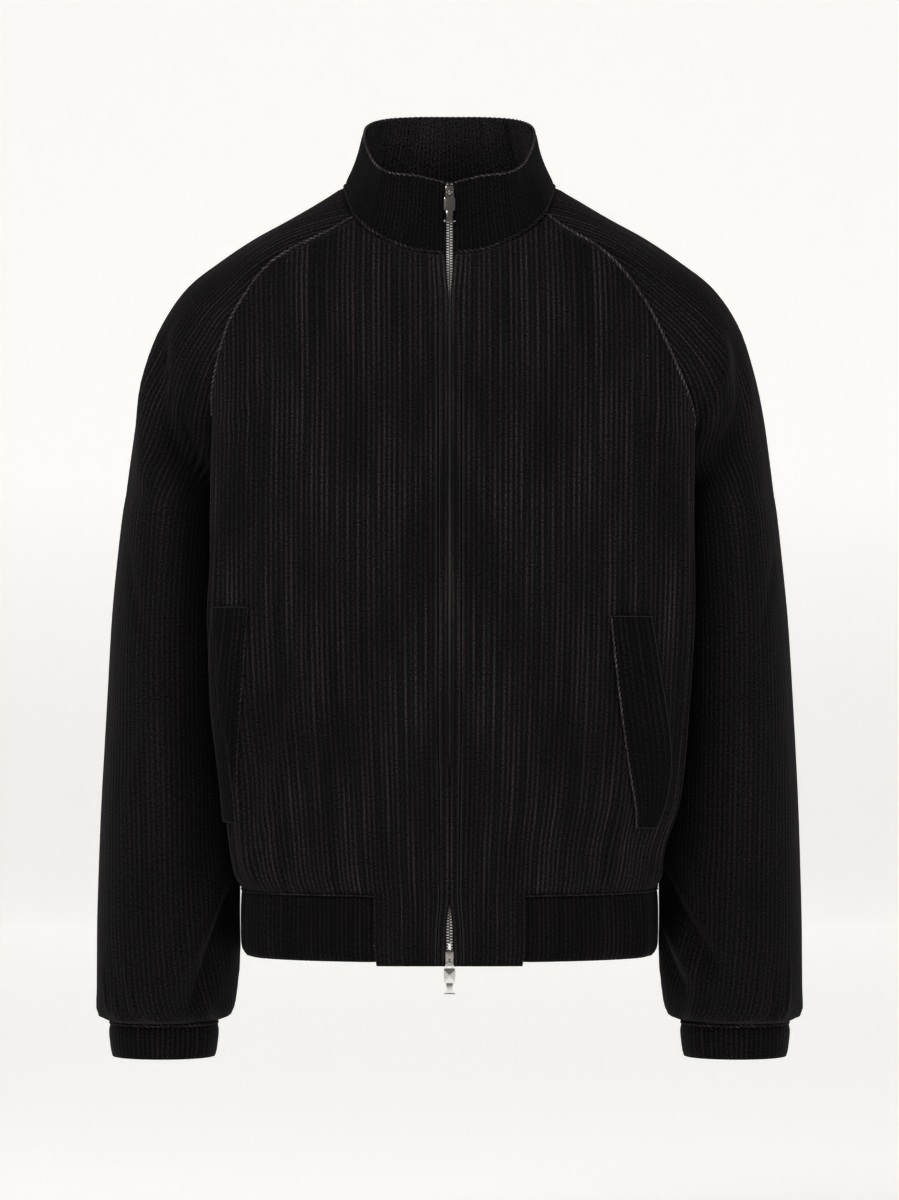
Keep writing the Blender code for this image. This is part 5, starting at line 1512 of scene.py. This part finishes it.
def slab(outline, levels):
    # an outline in x, z carried through depth y: levels are (y, share of the outline), with
    # both ends capped by a fan of faces
    outline = np.asarray(outline, float)
    middle = outline.mean(axis=0)
    rings = []
    for y, share in levels:
        ring = middle + (outline - middle) * share
        rings.append(np.stack([ring[:, 0], np.full(len(ring), y), ring[:, 1]], axis=-1))
    caps = [[middle[0], levels[end][0], middle[1]] for end in (0, -1)]
    n = len(outline)
    i = np.arange(n)
    j = (i + 1) % n
    quads = [np.stack([k * n + i, k * n + j, (k + 1) * n + j, (k + 1) * n + i], axis=-1)
             for k in range(len(levels) - 1)]
    top = (len(levels) - 1) * n
    first = np.full(n, n * len(levels))
    quads.append(np.stack([j, i, first, first], axis=-1))
    quads.append(np.stack([top + i, top + j, first + 1, first + 1], axis=-1))
    return np.concatenate([*rings, caps]), np.concatenate(quads)


def roundedBox(width, high, corner, count=4):
    # a rectangle in x, z with quarter circles at its corners
    a = np.linspace(0, math.pi / 2, count)
    parts = []
    for k, (sx, sz) in enumerate(((1, 1), (-1, 1), (-1, -1), (1, -1))):
        turn = a + k * math.pi / 2
        centre = np.array([sx * (width / 2 - corner), sz * (high / 2 - corner)])
        parts.append(centre + corner * np.stack([np.cos(turn), np.sin(turn)], axis=-1))
    return np.concatenate(parts)


def slabLevels(front, rear, bevel, high):
    # depths with a rounded front and rear rim
    share = 1 - 2 * bevel / high
    mid = 1 - 2 * bevel * 0.3 / high
    return [(front, share), (front + bevel * 0.3, mid), (front + bevel, 1.0),
            (rear - bevel, 1.0), (rear - bevel * 0.3, mid), (rear, share)]


def metalPiece(name, shapes, place, material, body="jacket"):
    # several closed shapes as one metal part with crisp edges, in place of the solid that its
    # name ends with; place turns the points to where they belong
    points, quads, count = [], [], 0
    for shapePoints, shapeQuads in shapes:
        points.append(shapePoints)
        quads.append(shapeQuads + count)
        count += len(shapePoints)
    piece = makeMesh(name, place(np.concatenate(points)), np.concatenate(quads))
    made = bmesh.new()
    made.from_mesh(piece.data)
    bmesh.ops.recalc_face_normals(made, faces=made.faces)
    made.to_mesh(piece.data)
    made.free()
    piece.data.set_sharp_from_angle(angle=math.radians(zipParts["sharp"]))
    finishPiece(piece, material, [name.replace("dressed_", "")], body=body)


def chainY(z):
    # depth of the chain's middle at each height
    return centreLine(z) + tapeDepth + chainThickness / 2


def makeTeeth(name, side, material):
    z0 = np.linspace(zipFootZ + zipParts["foot"], topSliderZ + zipParts["head"], 3000)
    centre, run = evenPath(np.stack([np.zeros_like(z0), chainY(z0), z0], axis=-1), zipParts["line"])
    at = np.arange(0, run[-1], zipParts["tooth"]) + (zipParts["tooth"] / 2 if side > 0 else 0)
    at = at[at < run[-1]]
    reach = zipParts["leanReach"]
    (y, z), ahead, behind = ([np.interp(at + shift, run, centre[:, k]) for k in (1, 2)]
                             for shift in (0, reach, -reach))
    lean = np.arctan2(ahead[0] - behind[0], ahead[1] - behind[1])
    wide, high, half = zipParts["toothWide"], zipParts["toothHigh"], chainThickness / 2
    upper = [(x, share * high) for x, share in toothTip]
    upper += [(x * wide, share * high) for x, share in toothRoot]
    outline = [(x, -z1) for x, z1 in upper] + upper[::-1]
    shape, quads = slab(outline, [(depth * half, share) for depth, share in toothDepths])
    c, s = np.cos(-lean)[:, None], np.sin(-lean)[:, None]
    points = np.stack([
        np.broadcast_to(shape[:, 0] * side, (len(at), len(shape))),
        shape[None, :, 1] * c - shape[None, :, 2] * s + y[:, None],
        shape[None, :, 1] * s + shape[None, :, 2] * c + z[:, None],
    ], axis=-1)
    allQuads = (quads[None] + (np.arange(len(at)) * len(shape))[:, None, None]).reshape(-1, 4)
    piece = makeMesh(name, points, allQuads, flip=side < 0, smoothShade=False)
    finishPiece(piece, material, [name.replace("teeth_", "")])


def makeTape(name, side, material):
    z = np.linspace(zipFootZ, topSliderZ + zipParts["tapeHead"], 240)
    reach = np.where(z > neckFront[0][1] - tapeNarrows, chainHalf + tapeRim * 2, tapeWidth)
    inset = zipParts["tapeInset"]
    x = np.linspace(0, 1, 6)[None, :] * (reach - inset)[:, None] + inset
    y, z = (np.broadcast_to(line[:, None], x.shape) for line in (chainY(z) - tapeThickness / 2, z))
    points = np.stack([x, y, z], axis=-1)
    piece = makeMesh(name, mirrored(points, side), gridQuads(*x.shape), points[..., [0, 2]], flip=side < 0)
    addWall(piece, tapeThickness)
    finishPiece(piece, material, [])


def archTube(width, rise, long, band, shift, front):
    # a flat band bent over in a half oval, from one end of its foot to the other
    a = np.linspace(0, math.pi, 17)
    y = front - (rise - band / 2) * np.sin(a) ** 0.8
    z = shift - np.cos(a) * (long - band) / 2
    path = np.stack([np.zeros_like(a), y, z], axis=-1)
    along = unit(np.gradient(path, axis=0))
    normal = np.stack([np.zeros_like(a), along[:, 2], -along[:, 1]], axis=-1)
    t = np.linspace(0, 2 * math.pi, 13)[:-1]
    x = width / 2 * np.sign(np.cos(t)) * np.abs(np.cos(t)) ** 0.6
    n = band / 2 * np.sign(np.sin(t)) * np.abs(np.sin(t)) ** 0.7
    points = path[:, None] + x[None, :, None] * np.array([1.0, 0, 0]) + n[None, :, None] * normal[:, None]
    count = len(t)
    i = np.arange(len(a) - 1)[:, None] * count
    k = np.arange(count)[None, :]
    k2 = (k + 1) % count
    quads = np.stack([i + k, i + k2, i + count + k2, i + count + k], axis=-1).reshape(-1, 4)
    return points.reshape(-1, 3), quads


def makeSlider(name, z, nose, material):
    front = -sliderClearance - plateThickness
    rear = chainThickness + sliderClearance
    w, h = sliderWidth / 2, sliderLength / 2
    left = [(-x, z1) for x, z1 in sliderHalf[1:]]
    outline = np.array([left[-1], *sliderHalf[::-1], *left[:-1]]) * [w, h * nose]
    shapes = [slab(outline, slabLevels(depth, depth + plateThickness, zipParts["plateBevel"], sliderWidth))
              for depth in (front, rear)]
    inset = zipParts["rimInset"]
    for end in (-1, 1):
        rim = roundedBox(zipParts["rimWide"], sliderLength * zipParts["rimShare"], inset)
        rim = rim + [end * (w + inset), -nose * zipParts["rimShift"]]
        shapes.append(slab(rim, [(front + inset, 1.0), (rear + plateThickness - inset, 1.0)]))
    bite = zipParts["postBite"]
    post = roundedBox(postWidth, postLength, bite) + [0, nose * (sliderLength - postLength) / 2]
    shapes.append(slab(post, [(front + bite, 1.0), (rear + plateThickness * postReach, 1.0)]))
    shapes.append(archTube(archWidth, archRise, archLength, archBand, archShiftAt(z),
                           front + zipParts["archBite"]))
    y, lean = sliderSeat(z)
    metalPiece(name, shapes, lambda points: turnX(points, -lean, (0, y, z)), material)


pullShape = {
    "pinSides": 12,
    "legCorner": 0.0005,
    "cardCorner": 0.0016,
    "stemBite": 0.0010,       # the stem passes into the card and the bar by this in all
    "barCorner": 0.0007,
}


def makePull(name, z, lean, body, material):
    stem = pullWidth * pullStem
    half = pullThickness / 2
    thin, bevel = zipParts["thinBevel"], zipParts["bevel"]
    count = pullShape["pinSides"]
    around = np.linspace(0, 2 * math.pi, count + 1)[:-1]
    pin = np.stack([np.cos(around), np.sin(around)], axis=-1) * (pinDiameter / 2)
    ends = np.repeat([-stem / 2, stem / 2], count)
    i = np.arange(count)
    shapes = [(np.column_stack([ends, np.tile(pin, (2, 1))]),
               np.stack([i, (i + 1) % count, (i + 1) % count + count, i + count], axis=-1))]
    for end in (-1, 1):
        leg = roundedBox(pullArm, pullEye, pullShape["legCorner"])
        leg = leg + [end * (stem - pullArm) / 2, pinDiameter / 2 - pullEye / 2]
        shapes.append(slab(leg, slabLevels(-half * pullArmThickness, half * pullArmThickness, thin, pullArm)))
    top = -pullEye + pinDiameter
    card = roundedBox(pullWidth, pullPlate, pullShape["cardCorner"], 6) + [0, top - pullPlate / 2]
    shapes.append(slab(card, slabLevels(-half, half, bevel, pullWidth)))
    low = -(pullLength - pullFoot)
    long = (top - pullPlate) - low + pullShape["stemBite"]
    outline = np.array([*stemHalf, *[(-x, z1) for x, z1 in stemHalf[::-1]]])
    outline = outline * [stem, long] + [0, (top - pullPlate + low) / 2]
    depth = half * pullStemThickness
    shapes.append(slab(outline, slabLevels(-depth, depth, thin, stem)))
    bar = roundedBox(pullWidth, pullFoot, pullShape["barCorner"], 5) + [0, -pullLength + pullFoot / 2]
    shapes.append(slab(bar, slabLevels(-half, half, bevel, pullFoot * 2)))
    metalPiece(name, shapes, lambda points: turnX(points, lean, pullAxis(z)), material, body)


stopCorner = 0.0005


def makeStop(name, side, material):
    z = topSliderZ + sliderLength / 2 + stopHeight / 2 + stopSeat
    y = float(chainY(np.array([z]))[0])
    outline = roundedBox(stopWidth, stopHeight, stopCorner) + [side * (stopWidth / 2 + stopOffset), 0]
    half = chainThickness / 2
    shape = slab(outline, slabLevels(-half, half, zipParts["bevel"], stopWidth))
    metalPiece(name, [shape], lambda points: points + [0, y, z], material)


materials = {
    # key: name, wale width, brightness, how plain its lit lines are low down and higher up
    "body": ("black_cotton_corduroy", wales["pitch"], 1.0, (1.0, 1.0)),
    "collar": ("black_cotton_corduroy_collar", wales["collarPitch"], 0.62, (0.3, 0.3)),
    "welt": ("black_corduroy_pocket_welt", wales["pitch"], 0.55, (0.4, 0.4)),
    # the collar's inside, three times as bright as the cloth: painted light where its hollow lies in shade
    "inside": ("black_cotton_corduroy_collar_inside", wales["collarPitch"], 3.0, (0.1, 0.1)),
    "sleeve": ("black_cotton_corduroy_sleeve", wales["pitch"], 1.02, (0.25, 0.9)),
    "band": ("black_cotton_corduroy_band", wales["pitch"], 0.62, (0.5, 0.5)),
    "cuff": ("black_cotton_corduroy_cuff", wales["pitch"], 0.76, (0.6, 0.6)),
    # the rolled seams, brighter than the cloth: a painted highlight on their twisted pile, less of it on the
    # second
    "seam": ("black_corduroy_rolled_seam", seams["lobe"], 4.6, (1.0, 1.0)),
    "lessLitSeam": ("black_corduroy_rolled_seam_less_lit", seams["lobe"], 1.6, (1.0, 1.0)),
}
corduroys = {key: corduroyMaterial(*row) for key, row in materials.items()}
threadBlack = threadMaterial("black_core_spun_thread", "#1d1b1c", 0.0006)
tapeBlack = threadMaterial("black_polyester_zip_tape", "#141314", 0.0008, 0.75)
nickelPlate = metalMaterial("nickel_plated_brass_polished", metal["nickel"], metal["nickelRoughness"])
palePlate = metalMaterial("nickel_plated_brass_pale", metal["nickelPale"], metal["nickelRoughness"])
toothMetal = metalMaterial("nickel_plated_brass_zip_teeth", metal["teeth"], metal["teethRoughness"], 0.25)

halves = (("left", -1), ("right", 1))
for word, side in halves:
    makeFront(f"dressed_front_{word}", side, corduroys["body"])
print("fronts made")
makeBack("dressed_back", corduroys["body"])
for word, side in halves:
    makeSleeve(f"dressed_sleeve_{word}", side, corduroys["sleeve"])
print("back and sleeves made")
makeCollar("dressed_collar", corduroys["collar"], corduroys["inside"])
makeBand("dressed_hem_band", corduroys["band"])
for word, side in halves:
    makeCuff(f"dressed_cuff_{word}", side, corduroys["cuff"])
for word, side in halves:
    makeWelt(f"dressed_pocket_welt_{word}", side, corduroys["welt"])
print("collar, band, cuffs and welts made")
for word, side in halves:
    makeSideSeams(side, word, corduroys["seam"], corduroys["lessLitSeam"], threadBlack)
makeRoundSeams(corduroys["seam"], corduroys["lessLitSeam"])
print("seams made")
for word, side in halves:
    makeTeeth(f"zip_teeth_{word}", side, toothMetal)
    makeTape(f"zip_tape_{word}", side, tapeBlack)
    makeStop(f"dressed_stop_{word}", side, nickelPlate)
makeSlider("dressed_slider_top", topSliderZ, 1, nickelPlate)
makeSlider("dressed_slider_bottom", bottomSliderZ, -1, nickelPlate)
makePull("dressed_pull_top", topSliderZ, topPullLean, "upper_pull", nickelPlate)
makePull("dressed_pull_bottom", bottomSliderZ, 0.0, "lower_pull", palePlate)
print("zip made")

studio = {
    "paper": "#fdfcfa",
    "paperRoughness": 0.95,
    "paperSpecular": 0.1,
    "floorZ": -0.98,
    "wallY": 5.8,             # behind a camera that looks from the back, too
    "farY": -8.0,
    "halfWidth": 12.0,
    "top": 7.0,
    "bend": 0.9,
    "world": 0.16,
    "worldColour": (1.0, 0.985, 0.965, 1.0),
    "glow": 0.385,            # light that the paper passes on by itself
    "cameraAway": 4.0,
    "cameraZ": -0.3388,
    "seenHigh": 1.056,        # metres that fill the frame's height at the jacket
    "sensor": 24.0,
}


def makePaper(material):
    # a paper sweep: floor, quarter circle, wall
    a = np.linspace(0, math.pi / 2, 24)
    bend, floor, wallAt = studio["bend"], studio["floorZ"], studio["wallY"]
    y = np.concatenate([[studio["farY"]], wallAt - bend + bend * np.sin(a), [wallAt]])
    z = np.concatenate([[floor], floor + bend - bend * np.cos(a), [studio["top"]]])
    x = np.array([-1, 1]) * studio["halfWidth"]
    points = np.stack([0 * y[:, None] + x, y[:, None] + 0 * x, z[:, None] + 0 * x], axis=-1)
    paper = makeMesh("paper_sweep", points, gridQuads(len(y), 2))
    paper.data.materials.append(material)


makePaper(newMaterial("warm_white_background_paper", (
    ("Base Color", linear(studio["paper"])),
    ("Roughness", studio["paperRoughness"]),
    ("Specular IOR Level", studio["paperSpecular"]),
    ("Emission Color", linear(studio["paper"])),
    ("Emission Strength", studio["glow"]),
))[0])

world = bpy.data.worlds.new("studio")
bpy.context.scene.world = world
world.use_nodes = True
background = world.node_tree.nodes["Background"]
background.inputs["Color"].default_value = studio["worldColour"]
background.inputs["Strength"].default_value = studio["world"]

lamps = (
    # name, place, aimed at, width, height, watts
    ("front_box", (-1.5, -2.5, 3.0), (0.0, 0.0, -0.25), 1.3, 1.1, 40),
    ("right_box", (2.3, -1.2, 0.8), (0.1, 0.0, -0.3), 0.7, 1.8, 26),
    ("left_box", (-2.3, -1.0, 0.7), (-0.1, 0.0, -0.3), 0.7, 1.8, 22),
    ("paper_wash", (0.0, 3.2, 3.4), (0.0, 5.8, 0.0), 5.0, 0.8, 14),
)
for name, place, aim, wide, high, watts in lamps:
    light = bpy.data.lights.new(name, "AREA")
    light.shape = "RECTANGLE"
    light.size = wide
    light.size_y = high
    light.energy = watts
    lamp = bpy.data.objects.new(name, light)
    bpy.context.scene.collection.objects.link(lamp)
    lamp.location = place
    lamp.rotation_euler = (Vector(aim) - Vector(place)).to_track_quat("-Z", "Y").to_euler()

cameraData = bpy.data.cameras.new("camera")
camera = bpy.data.objects.new("camera", cameraData)
bpy.context.scene.collection.objects.link(camera)
camera.location = (0.0, -studio["cameraAway"], studio["cameraZ"])
camera.rotation_euler = (math.pi / 2, 0, 0)
cameraData.sensor_fit = "VERTICAL"
cameraData.sensor_height = studio["sensor"]
cameraData.lens = studio["sensor"] * studio["cameraAway"] / studio["seenHigh"]
bpy.context.scene.camera = camera
bpy.context.scene.view_settings.view_transform = "Standard"
bpy.context.scene.view_settings.look = "None"
print("studio made")

cuts = (
    # piece, width, length, how it is held, what it hangs from; * stands for left, then right
    ("dressed_front_*", 0.33, 0.66, "hung", "seam_raglan_front_*"),
    ("dressed_back", 0.49, 0.64, "hung", "seam_raglan_back_left"),
    ("dressed_sleeve_*", 0.46, 0.72, "hung", "seam_raglan_front_*"),
    ("dressed_collar", 0.50, 0.07, "stretched", "seam_neck"),
    ("dressed_hem_band", 0.98, 0.062, "hung", "seam_hem_band"),
    ("dressed_cuff_*", 0.29, 0.032, "stretched", "seam_cuff_*"),
    ("dressed_pocket_welt_*", 0.038, 0.19, "stretched", "dressed_front_*"),
)


def halfSurface(piece):
    # half of the closed shell's surface, which is the cloth's own area
    seen = piece.evaluated_get(bpy.context.evaluated_depsgraph_get())
    mesh = seen.to_mesh()
    area = sum(face.area for face in mesh.polygons) / 2
    triangles = sum(len(face.vertices) - 2 for face in mesh.polygons)
    seen.to_mesh_clear()
    return area, triangles


for name, width, length, held, hangsFrom in cuts:
    for word in ("left", "right") if "*" in name else ("",):
        piece = bpy.data.objects[name.replace("*", word)]
        area, triangles = halfSurface(piece)
